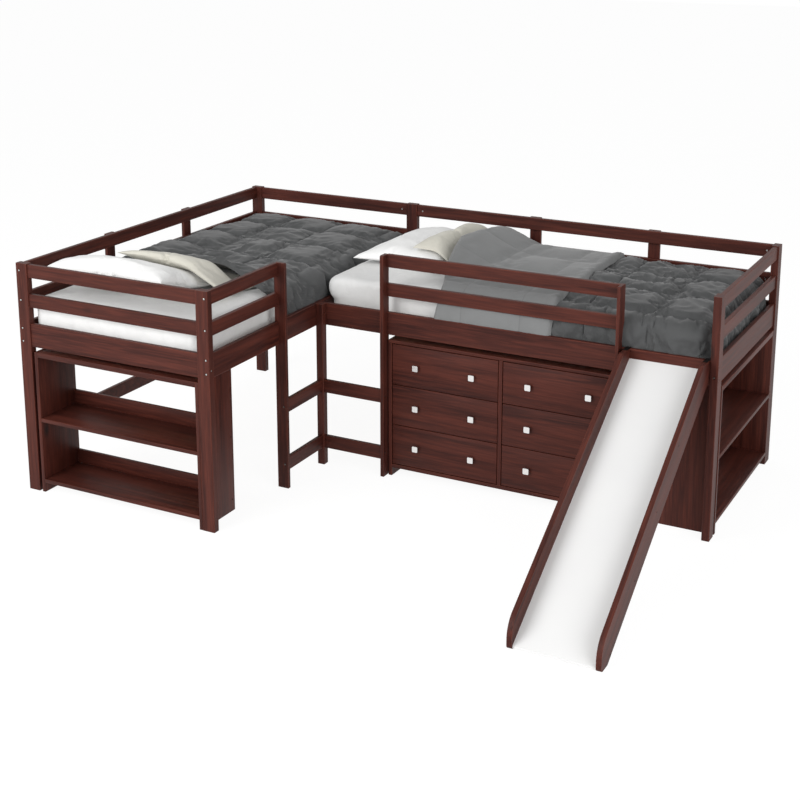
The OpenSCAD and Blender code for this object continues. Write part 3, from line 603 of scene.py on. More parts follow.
@dataclass
class Studio:
    """A pale floor, soft light and the photograph's point of view."""

    lens: float = 64.911
    sensor: float = 36.0
    shift: float = -0.2
    heading: float = 27.721
    tilt: float = 13.751
    place: Point = (4.58575, -6.94276, 2.83231)
    aim: Point = (1.4, -1.0, 0.6)
    sky: float = 0.46
    key: float = 400.0
    fill: float = 185.0
    glow: float = 1.08
    glow_share: float = 0.85

    def build(self) -> None:
        """Makes the camera, the world, the lamps and the floor."""
        self.camera()
        self.world()
        self.lamp("key_light", (-1.2, -7.6, 3.9), 4.5, self.key)
        self.lamp("fill_light", (7.0, -4.0, 2.8), 4.0, self.fill)
        self.floor()
        bpy.context.scene.view_settings.view_transform = "Standard"

    def camera(self) -> None:
        """Makes the camera, at the photograph's viewing angle."""
        data = bpy.data.cameras.new("camera")
        data.lens = self.lens
        data.sensor_width = self.sensor
        data.shift_y = self.shift
        data.clip_end = 100
        made = bpy.data.objects.new("camera", data)
        made.location = self.place
        tilt, heading = math.radians(90 - self.tilt), math.radians(self.heading)
        made.rotation_euler = (tilt, 0.0, heading)
        bpy.context.scene.collection.objects.link(made)
        bpy.context.scene.camera = made

    @staticmethod
    def seen(tree: bpy.types.NodeTree) -> Socket:
        """Tells what is seen, directly, in metal or through glass, from what only lights.

        Args:
            tree: The node tree that asks.

        Returns:
            1 where a ray shows the background, and 0 where it only brings light.
        """
        rays = ("Is Camera Ray", "Is Glossy Ray", "Is Transmission Ray")
        found, *others = (add(tree, "LightPath", {}, ray) for ray in rays)
        for other in others:
            found = add(tree, "Math", {0: found, 1: other}, operation="MAXIMUM")
        return found

    def world(self) -> None:
        """Makes a plain light sky that shows white behind the object."""
        world = bpy.data.worlds.new("studio")
        world.use_nodes = True
        tree = world.node_tree
        tree.nodes.clear()
        span = {"Value": self.seen(tree), "To Min": self.sky, "To Max": 1.0}
        light = {"Color": "#FFFFFF", "Strength": add(tree, "MapRange", span)}
        add(tree, "OutputWorld", {"Surface": add(tree, "Background", light)})
        bpy.context.scene.world = world

    def lamp(self, name: str, place: Point, size: float, power: float) -> None:
        """Makes one soft lamp that faces the middle of the bed.

        Args:
            name: The lamp's name.
            place: Where it hangs.
            size: Side of the square it shines from.
            power: Its power in watts.
        """
        data = bpy.data.lights.new(name, "AREA")
        data.size = size
        data.energy = power
        made = bpy.data.objects.new(name, data)
        made.location = place
        aim = Vector(self.aim) - made.location
        made.rotation_euler = aim.to_track_quat("-Z", "Y").to_euler()
        bpy.context.scene.collection.objects.link(made)

    def floor(self) -> None:
        """Makes a white floor that keeps a faint shadow."""
        plane = bpy.ops.mesh.primitive_plane_add
        made = primitive(plane, size=60, location=(1.5, -1, -0.0005))
        made.name = "floor"
        material = bpy.data.materials.new("studio_floor")
        material.use_nodes = True
        tree = material.node_tree
        tree.nodes.clear()
        matt = add(tree, "BsdfDiffuse", {"Color": "#F4F4F4"})
        glow = add(tree, "Emission", {"Color": "#FFFFFF", "Strength": self.glow})
        part = {0: self.seen(tree), 1: self.glow_share}
        share = add(tree, "Math", part, operation="MULTIPLY")
        both = add(tree, "MixShader", {0: share, 1: matt, 2: glow})
        add(tree, "OutputMaterial", {"Surface": both})
        made.data.materials.append(material)


# The frame's own boards


@dataclass
class PineFrame:
    """The posts, rails, ladder and boards that keep the shape of their CAD solids."""

    grains: tuple[tuple[str, Grain], ...] = (
        ("post_front_left", Grain.Z),
        ("post_front_right", Grain.Z),
        ("post_corner_outer", Grain.Z),
        ("post_corner_inner", Grain.Z),
        ("post_back_middle", Grain.Z),
        ("post_right_front", Grain.Z),
        ("post_right_back", Grain.Z),
        ("ladder_post_left", Grain.Z),
        ("ladder_post_right", Grain.Z),
        ("gate_post", Grain.Z),
        ("wall_uprights", Grain.Z),
        ("front_end_rails", Grain.X),
        ("right_end_rails", Grain.Y),
        ("left_side_guards", Grain.Y),
        ("left_side_rail", Grain.Y),
        ("right_side_guards", Grain.X),
        ("right_side_rail", Grain.X),
        ("left_wall_rails", Grain.Y),
        ("back_left_rails", Grain.X),
        ("back_right_rails", Grain.X),
        ("wall_stretchers", Grain.X),
        ("ladder_rungs_left", Grain.Y),
        ("ladder_rungs_right", Grain.X),
        ("slide_battens", Grain.X),
        ("dresser_side_panels", Grain.Z),
        ("dresser_top", Grain.X),
        ("dresser_base", Grain.X),
    )
    bare: tuple[tuple[str, Grain], ...] = (
        ("slat_ledgers", Grain.Y),
        ("slats_left", Grain.X),
        ("slats_right", Grain.Y),
        ("dresser_back", Grain.Z),
    )
    slide_angle: float = 31.5

    def dress(self, nodes: Nodes) -> None:
        """Stains each board along its grain, leaves some bare and whitens the slide.

        Args:
            nodes: The frame's CAD nodes by name.
        """
        for index, (name, grain) in enumerate(self.grains):
            StainedPine(f"stained_pine_{name}", grain, 0.37 * index).dress(nodes[name])
        for name, grain in self.bare:
            BarePine(f"bare_pine_{name}", grain).dress(nodes[name])
        slope = -math.radians(self.slide_angle)
        sides = StainedPine("stained_pine_slide_boards", Grain.Y, 9.1, slope)
        sides.dress(nodes["slide_boards"])
        Laminate("white_laminate").dress(nodes["slide_panel"])
        log.info("boards: %d stained, %d bare", len(self.grains) + 1, len(self.bare))


# Fittings


@dataclass(frozen=True)
class Bolt:
    """Where one bolt of the CAD frame sits: the middle of its head, and its length."""

    face: Vector
    inward: Vector
    length: float = 0.0

    def fitted(self, part: bpy.types.Object) -> bpy.types.Object:
        """Moves a part made along +Z to this bolt's own place and way."""
        turn = (-self.inward).to_track_quat("Z", "Y").to_matrix().to_4x4()
        part.data.transform(Matrix.Translation(self.face) @ turn)
        return part


@dataclass
class Fittings:
    """Bolts, nuts, runners, hooks and screws of steel."""

    head: float = 0.0062
    head_thick: float = 0.003
    hollow: float = 0.0007
    hollow_rim: float = 0.0012
    socket: float = 0.0040
    shank: float = 0.003
    screw: float = 0.0032
    cap_thick: float = 0.0016
    cap_edge: float = 0.0006
    front_line: float = -1.99
    side_screws: tuple[Point, ...] = (
        (0.987, -1.772, 0.692),
        (0.987, -1.772, 0.367),
        (0.987, -1.772, 0.057),
        (3.008, -1.463, 0.590),
        (3.008, -1.729, 0.402),
        (3.008, -1.977, 0.213),
        (3.008, -2.238, 0.026),
    )

    def dress(self, nodes: Nodes) -> None:
        """Gives the steel parts their finish and models the bolt heads.

        Args:
            nodes: The frame's CAD nodes by name.
        """
        # Zinc is pale; on the bolts away from the front a darker brown-grey copy of it is
        # painted shade; black oxide is almost as the wood
        zinc = Metal("zinc_plated_steel", "#B4B4B3", "#D2D2D0", 0.32)
        shaded_zinc = Metal("painted_shade_zinc_steel", "#5A524F", "#6E6663", 0.4)
        black = Metal("black_oxide_steel", "#241D1B", "#332A27", 0.45)
        for name in ("barrel_nuts", "dresser_runners"):
            zinc.dress(nodes[name])
        black.dress(nodes["slide_hooks"])
        node = "frame_bolts"
        bolts = self.found(nodes[node])
        front = [bolt for bolt in bolts if bolt.face.y < self.front_line]
        rest = [bolt for bolt in bolts if bolt.face.y >= self.front_line]
        sideways = Vector((-1, 0, 0))
        screws = [Bolt(Vector(p), sideways) for p in self.side_screws]
        bodies = [bolt.fitted(self.body(bolt.length)) for bolt in bolts]
        for name, finish, parts, stands_for in (
            ("bolt_bodies", black, bodies, node),
            ("bolt_sockets_front", zinc, self.caps(front, self.socket, 0.0006), node),
            # Bolts away from the front get the darker zinc, as painted shade
            ("bolt_sockets", shaded_zinc, self.caps(rest, self.socket, 0.0006), node),
            ("side_screws", black, self.caps(screws, self.screw, 0.0012), ""),
        ):
            made = joined(name, parts)
            finish.dress(made)
            smooth(made, 35)
            declared(made, stands_for)

    def found(self, node: bpy.types.Object) -> list[Bolt]:
        """Finds each bolt in the CAD node that holds them all.

        Args:
            node: The CAD node.

        Returns:
            The bolts.
        """
        mesh = bmesh.new()
        mesh.from_mesh(node.data)
        bmesh.ops.remove_doubles(mesh, verts=mesh.verts, dist=1e-5)
        left = set(mesh.verts)
        bolts = []
        while left:
            island = {left.pop()}
            edge = list(island)
            while edge:
                vertex = edge.pop()
                for link in vertex.link_edges:
                    other = link.other_vert(vertex)
                    if other in left:
                        left.remove(other)
                        island.add(other)
                        edge.append(other)
            bolts.extend(self.measured([vertex.co.copy() for vertex in island]))
        mesh.free()
        return sorted(bolts, key=lambda bolt: tuple(round(v, 4) for v in bolt.face))

    def measured(self, points: list[Vector]) -> list[Bolt]:
        """Works out a bolt's place from the points of its solid.

        Args:
            points: The solid's points.

        Returns:
            The bolt, or nothing where the solid has no head.
        """
        low = Vector([min(p[a] for p in points) for a in range(3)])
        high = Vector([max(p[a] for p in points) for a in range(3)])
        axis = max(range(3), key=lambda a: high[a] - low[a])
        middle = (low + high) / 2
        across = [a for a in range(3) if a != axis]
        # What is 2 mm wider than the shank belongs to the head
        wide = [
            p
            for p in points
            if math.hypot(*(p[a] - middle[a] for a in across)) > self.shank + 0.002
        ]
        if not wide:
            return []
        side = 1 if sum(p[axis] - middle[axis] for p in wide) > 0 else -1
        face = middle.copy()
        face[axis] = high[axis] if side > 0 else low[axis]
        inward = Vector((0, 0, 0))
        inward[axis] = -side
        return [Bolt(face, inward, high[axis] - low[axis])]

    def body(self, length: float) -> bpy.types.Object:
        """Models a bolt's hollow head and its shank, down from the origin.

        Args:
            length: The bolt's length.

        Returns:
            The bolt's body.
        """
        thick = self.head_thick
        made = primitive(
            bpy.ops.mesh.primitive_cylinder_add,
            vertices=28,
            radius=self.head,
            depth=thick,
            location=(0, 0, -thick / 2),
        )
        with editing(made, lambda face: face.normal.z > 0.9):
            bpy.ops.mesh.inset(thickness=self.hollow_rim)
            bpy.ops.transform.translate(value=(0, 0, -self.hollow))
        with editing(made, lambda face: face.normal.z < -0.9):
            bpy.ops.mesh.inset(thickness=self.head - self.shank)
            reach = {"value": (0, 0, thick - length)}
            bpy.ops.mesh.extrude_region_move(TRANSFORM_OT_translate=reach)
        return made

    def caps(
        self, bolts: list[Bolt], radius: float, proud: float
    ) -> list[bpy.types.Object]:
        """Models a low round cap on each of some bolts.

        Args:
            bolts: The bolts.
            radius: A cap's radius.
            proud: Its height over the face.

        Returns:
            The caps.
        """
        made = []
        for bolt in bolts:
            cap = primitive(
                bpy.ops.mesh.primitive_cylinder_add,
                vertices=20,
                radius=radius,
                depth=self.cap_thick,
                location=(0, 0, proud - self.cap_thick / 2),
            )
            with editing(cap, lambda face: face.normal.z > 0.9):
                bpy.ops.mesh.bevel(offset=self.cap_edge, segments=2, affect="EDGES")
            made.append(bolt.fitted(cap))
        return made


# Dresser and bookcases


@dataclass
class Drawers:
    """Six drawers, each a stained front with a bare box behind it, and their knobs."""

    side: float = 0.012
    bottom: float = 0.006
    bottom_lift: float = 0.008
    front_thick: float = 0.018
    play: float = 0.009
    box_lift: float = 0.0243
    box_high: float = 0.150

    def build(self, nodes: Nodes) -> None:
        """Models every drawer in place of its CAD nodes, and gives each knob its finish.

        Args:
            nodes: The frame's CAD nodes by name.
        """
        # Nickel is the brightest metal here, with a soft band of light on each face
        nickel = Metal("brushed_nickel", "#D5D2D1", "#EFEEED", 0.24)
        for c, column in enumerate(("left", "right")):
            for r, row in enumerate(("top", "middle", "bottom")):
                self.drawer(f"{column}_{row}", 20.0 + 3.1 * c + 1.7 * r)
                nickel.dress(nodes[f"knobs_{column}_{row}"])

    def drawer(self, which: str, seed: float) -> None:
        """Models one drawer.

        Args:
            which: Its column and row, as in its node's name.
            seed: Where its grain pattern starts.
        """
        node, body = f"drawer_{which}", f"drawer_body_{which}"
        low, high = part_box(node)
        behind = low.y + self.front_thick
        face = board(f"drawer_front_{which}", low, (high.x, behind, high.z), 0.002)
        StainedPine(f"stained_pine_front_{which}", Grain.X, seed).dress(face)
        declared(face, node, body)
        left, right = low.x + self.play, high.x - self.play
        front, back = behind + GLUE_LINE, high.y
        foot = low.z + self.box_lift
        top = foot + self.box_high
        parts = [
            board("side", (x, front, foot), (x + self.side, back, top))
            for x in (left, right - self.side)
        ]
        inner, outer = left + self.side + GLUE_LINE, right - self.side - GLUE_LINE
        end = back - self.side
        rear = board("rear", (inner, end, foot), (outer, back, top))
        low_z = foot + self.bottom_lift
        high_z = low_z + self.bottom
        floor = board(
            "bottom", (inner, front, low_z), (outer, end - GLUE_LINE, high_z), 0.0005
        )
        for part in (*parts, floor):
            BarePine("bare_pine_drawer_sides", Grain.Y).dress(part)
        BarePine("bare_pine_drawer_rear", Grain.X).dress(rear)
        box = joined(f"drawer_box_{which}", [*parts, rear, floor])
        declared(box, body=body)


@dataclass
class Bookcase:
    """An open bookcase of stained boards with a stop at the back of each shelf."""

    name: str
    grain: Grain
    seed: float
    width: float = 0.938
    height: float = 0.705
    depth: float = 0.260
    top: float = 0.025
    shelf: float = 0.018
    shelves: tuple[float, float] = (0.358, 0.048)
    stop_high: float = 0.068
    stop_thick: float = 0.015

    def build(self) -> None:
        """Models the sides and the shelves in place of the CAD node."""
        low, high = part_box(self.name)
        if self.grain is Grain.Y:
            turn = Matrix.Rotation(math.pi / 2, 4, "Z")
            place = Matrix.Translation((high.x, low.y, 0)) @ turn
        else:
            place = Matrix.Translation((low.x, low.y, 0))
        thick, deep, tall = self.shelf, self.depth, self.height
        inner = thick + GLUE_LINE
        outer = self.width - inner
        stop_front = deep - self.stop_thick
        uprights = [
            board("side", (x, 0, 0), (x + thick, deep, tall))
            for x in (0.0, self.width - thick)
        ]
        level = [board("top", (inner, 0, tall - self.top), (outer, deep, tall))]
        for z in self.shelves:
            foot = z + thick + GLUE_LINE
            head = foot + self.stop_high
            level += [
                board("shelf", (inner, 0, z), (outer, deep, z + thick)),
                board("stop", (inner, stop_front, foot), (outer, deep, head)),
            ]
        for suffix, parts, way in (
            ("sides", uprights, Grain.Z),
            ("shelves", level, self.grain),
        ):
            made = joined(f"{self.name}_{suffix}", parts)
            made.data.transform(place)
            StainedPine(f"stained_pine_{self.name}_{suffix}", way, self.seed).dress(made)
            declared(made, self.name)


# Bedding


@dataclass(frozen=True)
class Bed:
    """Where one bed's bedding lies: its open side is +X and its head -Y, then turned."""

    middle: tuple[float, float]
    turn: float
    level: float = 0.7843
    width: float = 0.962
    length: float = 1.905
    edge_high: float = 0.168
    crown: float = 0.012
    crown_from: float = 0.12

    def matrix(self) -> Matrix:
        """The bed's place as a matrix."""
        turn = Matrix.Rotation(math.radians(self.turn), 4, "Z")
        return Matrix.Translation((*self.middle, self.level)) @ turn

    def top(self, x: float, y: float) -> float:
        """Height of the mattress over its underside at a point.

        Args:
            x: Distance from the middle toward the open side.
            y: Distance from the middle toward the foot.

        Returns:
            The height in metres.
        """
        inset = min(self.width / 2 - abs(x), self.length / 2 - abs(y))
        rise = 1 - math.exp(-max(inset, 0) / self.crown_from)
        return self.edge_high + self.crown * rise


class Pile:
    """The height of all that lies on one bed so far, point by point."""

    step = 0.01
    bridged = 0.16

    def __init__(self, bed: Bed) -> None:
        """Starts with the bare mattress.

        Args:
            bed: The bed that carries the pile.
        """
        self.bed = bed
        self.across = round(bed.width / self.step) + 1
        self.along = round(bed.length / self.step) + 1
        self.heights = np.array(
            [
                [bed.top(*self.place(i, j)) for j in range(self.along)]
                for i in range(self.across)
            ]
        )

    def place(self, i: int, j: int) -> tuple[float, float]:
        """The point on the bed that one cell of the pile stands for."""
        bed = self.bed
        return i * self.step - bed.width / 2, j * self.step - bed.length / 2

    def add(self, piece: bpy.types.Object) -> None:
        """Adds the top of a piece to the pile.

        Args:
            piece: The piece that lies on the bed.
        """
        back = self.bed.matrix().inverted()
        points = [back @ vertex.co for vertex in piece.data.vertices]
        faces = [tuple(face.vertices) for face in piece.data.polygons]
        tree = BVHTree.FromPolygons(points, faces)
        for i in range(self.across):
            for j in range(self.along):
                x, y = self.place(i, j)
                hit = tree.ray_cast(Vector((x, y, 2)), Vector((0, 0, -1)))[0]
                if hit is not None:
                    self.heights[i, j] = max(self.heights[i, j], hit.z)

    def draped(self, slope: float, soften: int) -> "Pile":
        """The pile as cloth lies on it, with no side steeper than a slope.

        Args:
            slope: The steepest fall, as height over distance.
            soften: How often the result is smoothed.

        Returns:
            The draped pile.
        """
        made = Pile(self.bed)
        reach = round(self.bridged / slope / self.step)
        padded = np.pad(self.heights, reach, mode="edge")
        lifted = self.heights.copy()
        for di in range(-reach, reach + 1):
            for dj in range(-reach, reach + 1):
                fall = slope * self.step * math.hypot(di, dj)
                if fall < self.bridged:
                    a, b = reach + di, reach + dj
                    part = padded[a : a + self.across, b : b + self.along]
                    lifted = np.maximum(lifted, part - fall)
        for _ in range(soften):
            wide = np.pad(lifted, 1, mode="edge")
            beside = wide[:-2, 1:-1] + wide[2:, 1:-1] + wide[1:-1, :-2] + wide[1:-1, 2:]
            lifted = (beside + 4 * lifted) / 8
        made.heights = lifted
        return made

    def at(self, x: float, y: float) -> float:
        """Height of the pile at a point, between its cells."""
        u = min(max((x + self.bed.width / 2) / self.step, 0), self.across - 1.001)
        v = min(max((y + self.bed.length / 2) / self.step, 0), self.along - 1.001)
        i, j = int(u), int(v)
        du, dv = u - i, v - j
        h = self.heights
        return float(
            (h[i, j] * (1 - du) + h[i + 1, j] * du) * (1 - dv)
            + (h[i, j + 1] * (1 - du) + h[i + 1, j + 1] * du) * dv
        )


@dataclass(frozen=True)
class Settling:
    """How far a soft piece swells and creases when it is let go as cloth."""

    pressure: float
    bending: float
    cap: float
    growth: float = 0.0
    frames: int = 20
    tension: float = 20.0
    quality: int = 5
    mass: float = 0.15

    def run(self, piece: bpy.types.Object, held: Sequence[float] = ()) -> None:
        """Lets a piece settle, and applies the result to its mesh.

        Args:
            piece: The piece that settles.
            held: How firmly each point stays where it is, from 0 to 1.
        """
        start = [vertex.co.copy() for vertex in piece.data.vertices]
        alone(piece)
        cloth = piece.modifiers.new("cloth", "CLOTH")
        settings = cloth.settings
        if held:
            group = piece.vertex_groups.new(name="held")
            for index, weight in enumerate(held):
                if weight > 0:
                    group.add([index], weight, "REPLACE")
            settings.vertex_group_mass = "held"
        settings.quality = self.quality
        settings.mass = self.mass
        settings.use_pressure = True
        settings.uniform_pressure_force = self.pressure
        settings.shrink_min = -self.growth
        settings.shrink_max = -self.growth
        settings.bending_stiffness = self.bending
        settings.tension_stiffness = self.tension
        settings.compression_stiffness = self.tension
        settings.effector_weights.gravity = 0
        cloth.point_cache.frame_start = 1
        cloth.point_cache.frame_end = self.frames
        scene = bpy.context.scene
        for frame in range(1, self.frames + 1):
            scene.frame_set(frame)
        bpy.ops.object.modifier_apply(modifier=cloth.name)
        scene.frame_set(1)
        piece.vertex_groups.clear()
        for vertex, was in zip(piece.data.vertices, start):
            move = vertex.co - was
            if move.length > self.cap:
                vertex.co = was + move.normalized() * self.cap


def meshed(
    name: str, points: list[Vector], faces: list[tuple[int, ...]]
) -> bpy.types.Object:
    """Makes a piece from points and faces, with its normals outwards.

    Args:
        name: The piece's name.
        points: Its points.
        faces: The points of each face.

    Returns:
        The piece, in the scene.
    """
    data = bpy.data.meshes.new(name)
    data.from_pydata(points, [], faces)
    mesh = bmesh.new()
    mesh.from_mesh(data)
    bmesh.ops.recalc_face_normals(mesh, faces=mesh.faces)
    mesh.to_mesh(data)
    mesh.free()
    made = bpy.data.objects.new(name, data)
    bpy.context.scene.collection.objects.link(made)
    return made


def closed_shell(
    name: str, upper: Grid, lower: Grid, uv: list[list[tuple[float, float]]]
) -> bpy.types.Object:
    """Makes a closed piece between an upper and a lower surface.

    Args:
        name: The piece's name.
        upper: Rows of points of the upper surface.
        lower: Rows of points of the lower surface.
        uv: The place of each point on the flat cloth, in metres.

    Returns:
        The piece.
    """
    rows, columns = len(upper), len(upper[0])
    count = rows * columns
    points = [p for grid in (upper, lower) for row in grid for p in row]
    faces = []
    for i in range(rows - 1):
        for j in range(columns - 1):
            a = i * columns + j
            ring = (a, a + 1, a + columns + 1, a + columns)
            faces.append(ring)
            faces.append(tuple(count + k for k in reversed(ring)))
    rim = [
        *range(columns),
        *(i * columns + columns - 1 for i in range(1, rows)),
        *((rows - 1) * columns + j for j in range(columns - 2, -1, -1)),
        *(i * columns for i in range(rows - 2, 0, -1)),
    ]
    for a, b in zip(rim, rim[1:] + rim[:1]):
        faces.append((b, a, count + a, count + b))
    made = meshed(name, points, faces)
    flat = [place for row in uv for place in row]
    layer = made.data.uv_layers.new(name="cloth")
    for loop in made.data.loops:
        layer.data[loop.index].uv = flat[loop.vertex_index % count]
    smooth(made, 60)
    return made


@dataclass
class Mattress:
    """A mattress in a white fitted sheet, with soft folds down its sides."""

    name: str
    bed: Bed
    seed: float
    bulge: float
    bulge_from: float = 0.058
    corner: float = 0.06
    around: int = 480

    def build(self) -> None:
        """Models the mattress in place of its CAD node."""
        b, n = self.bed, self.around
        high = b.edge_high
        # Inset and height of each ring, from the middle below to the middle on top
        steps = [
            *((0.5, 0.0), (0.06, 0.0), (0.02, 0.0), (0.006, 0.004), (0.001, 0.014)),
            *((0.0, 0.014 + k * 0.0068) for k in range(1, 19)),
            *((0.001, high - 0.024), (0.003, high - 0.016), (0.010, high - 0.006)),
            (0.022, high),
            *((0.03 + 0.45 * (k / 22) ** 1.4, None) for k in range(1, 23)),
        ]
        points = []
        for inset, z in steps:
            for k in range(n):
                p = self.outline(k, min(inset, b.width / 2 - 0.004))
                height = b.top(p.x, p.y) if z is None else z
                away = Vector((p.x, p.y, 0)).normalized() * self.proud(k, p, height)
                points.append(Vector((p.x + away.x, p.y + away.y, height)))
        last = len(steps) - 1
        faces: list[tuple[int, ...]] = [
            (r * n + k, r * n + (k + 1) % n, (r + 1) * n + (k + 1) % n, (r + 1) * n + k)
            for r in range(last)
            for k in range(n)
        ]
        faces.append(tuple(last * n + k for k in range(n)))
        faces.append(tuple(range(n - 1, -1, -1)))
        made = meshed(f"sheeted_{self.name}", points, faces)
        made.data.transform(b.matrix())
        smooth(made, 50)
        Cotton("white_cotton_sheet", "#E9E9E8", "#DCDCDB").dress(made)
        declared(made, self.name)

    def proud(self, k: int, p: Vector, height: float) -> float:
        """How far the sheet stands out at a point of the mattress' side.

        Args:
            k: The point's number round the outline.
            p: The point.
            height: Its height over the mattress' underside.

        Returns:
            The distance outward, in metres.
        """
        high = self.bed.edge_high
        # Folds fade out over 40 mm below and 50 mm above, and lean with the pull
        side = ramp(height / 0.04) * ramp((high + 0.03 - height) / 0.05)
        pull = noise.noise(Vector((k * 0.045, self.seed, 0))) * 0.02
        fold = noise.noise(Vector((k * 0.13 + self.seed, (height + pull) * 5, self.seed)))
        fine = noise.noise(Vector((k * 0.31, height * 9, self.seed + 5)))
        crease = max(0.0, 1 - abs(fold) * 4)
        out = side * (0.003 * fold + 0.0016 * fine - 0.003 * crease - 0.003)
        # The sheet is loose at the head, where it swells over the last 90 mm
        head = ramp((-p.y - self.bed.length / 2 + 0.09) / 0.06)
        rise = min(max((height - self.bulge_from) / (high - self.bulge_from), 0), 1)
        return out + self.bulge * head * math.sin(math.pi * rise) ** 0.6

    def outline(self, k: int, inset: float) -> Vector:
        """A point of the mattress' rounded outline, drawn in by an inset.

        Args:
            k: The point's number round the outline.
            inset: How far inside the outer edge.

        Returns:
            The point, at height 0.
        """
        half_w, half_l = self.bed.width / 2 - inset, self.bed.length / 2 - inset
        radius = max(self.corner - inset / 2, 0.004)
        angle = math.tau * k / self.around
        ux, uy = math.cos(angle), math.sin(angle)
        scale = 1 / max(abs(ux) / half_w, abs(uy) / half_l)
        x, y = ux * scale, uy * scale
        cx = max(half_w - radius, 0.0)
        cy = max(half_l - radius, 0.0)
        if abs(x) > cx and abs(y) > cy:
            dx, dy = abs(x) - cx, abs(y) - cy
            reach = math.hypot(dx, dy)
            dx, dy = dx / reach * radius, dy / reach * radius
            x, y = math.copysign(cx + dx, x), math.copysign(cy + dy, y)
        return Vector((x, y, 0))


@dataclass
class Pillow:
    """A pillow in a cotton case, which lies on what is under it."""

    name: str
    bed: Bed
    middle: tuple[float, float]
    turn: float
    size: tuple[float, float]
    thick: float
    finish: Finish
    seed: float
    replaced: str = ""
    prop: float = 0.0
    cover: Callable[[float], float] | None = None
    rim: float = 0.34
    pressed: float = 0.72
    pitch: float = 0.012
    seam: float = 0.003

    def build(self, pile: Pile) -> bpy.types.Object:
        """Models the pillow and lays it on the pile.

        Args:
            pile: What the pillow lies on.

        Returns:
            The pillow.
        """
        made = self.filled()
        low = min(vertex.co.z for vertex in made.data.vertices)
        high = max(vertex.co.z for vertex in made.data.vertices)
        foot = self.rim * self.thick
        under = pile.draped(0.6, 6)
        turn = math.radians(self.turn)
        for vertex in made.data.vertices:
            u, v, w = vertex.co
            x = self.middle[0] + u * math.cos(turn) - v * math.sin(turn)
            y = self.middle[1] + u * math.sin(turn) + v * math.cos(turn)
            rise = foot + (
                w / high * (self.thick - foot) if w > 0 else -w / low * (foot - 0.001)
            )
            if self.cover is not None:
                # The comforter presses the pillow flat, from 100 mm before its edge
                rise *= 1 - self.pressed * ramp((y - self.cover(x) + 0.10) / 0.14)
            # A propped pillow climbs the bed's end over its last 420 mm
            rise += self.prop * ramp((-y - 0.48) / 0.42) + self.crease(u, v) * (w > 0)
            vertex.co = Vector((x, y, under.at(x, y) + rise))
        made.data.transform(self.bed.matrix())
        smooth(made, 75)
        self.finish.dress(made)
        declared(made, self.replaced)
        return made

    def crease(self, u: float, v: float) -> float:
        """Height of the case's creases at a point, in metres."""
        length, depth = self.size
        warp = noise.noise_vector(Vector((u * 5, v * 5, self.seed))) * 0.8
        p = Vector((u * 6 + warp.x, v * 15 + warp.y, self.seed))
        inset = min(1 - abs(u) * 2 / length, 1 - abs(v) * 2 / depth)
        return 0.0035 * (0.4 - abs(noise.noise(p)) * 2) * ramp(inset / 0.25)

    def filled(self) -> bpy.types.Object:
        """Sews a flat case and lets its filling swell it.

        Returns:
            The pillow, lying flat round the origin.
        """
        length, depth = self.size
        bpy.ops.object.select_all(action="DESELECT")
        bpy.ops.mesh.primitive_grid_add(
            x_subdivisions=round(length / self.pitch),
            y_subdivisions=round(depth / self.pitch),
            size=1,
        )
        made = bpy.context.active_object
        made.name = self.name
        apply_modifier(made, "SOLIDIFY", thickness=1.0, offset=0)
        for vertex in made.data.vertices:
            u, v, side = vertex.co.x * 2, vertex.co.y * 2, vertex.co.z
            full = (max(1 - u**4, 0) * max(1 - v**4, 0)) ** 0.5
            lump = noise.noise(Vector((u * 2.3, v * 1.9, self.seed)))
            vertex.co.x = u * length / 2
            vertex.co.y = v * depth / 2
            vertex.co.z = math.copysign(self.seam + 0.035 * full * (1 + 0.3 * lump), side)
        alone(made)
        Settling(pressure=6, bending=0.2, cap=0.1, frames=24).run(made)
        apply_modifier(made, "SUBSURF", levels=1, render_levels=1)
        return made


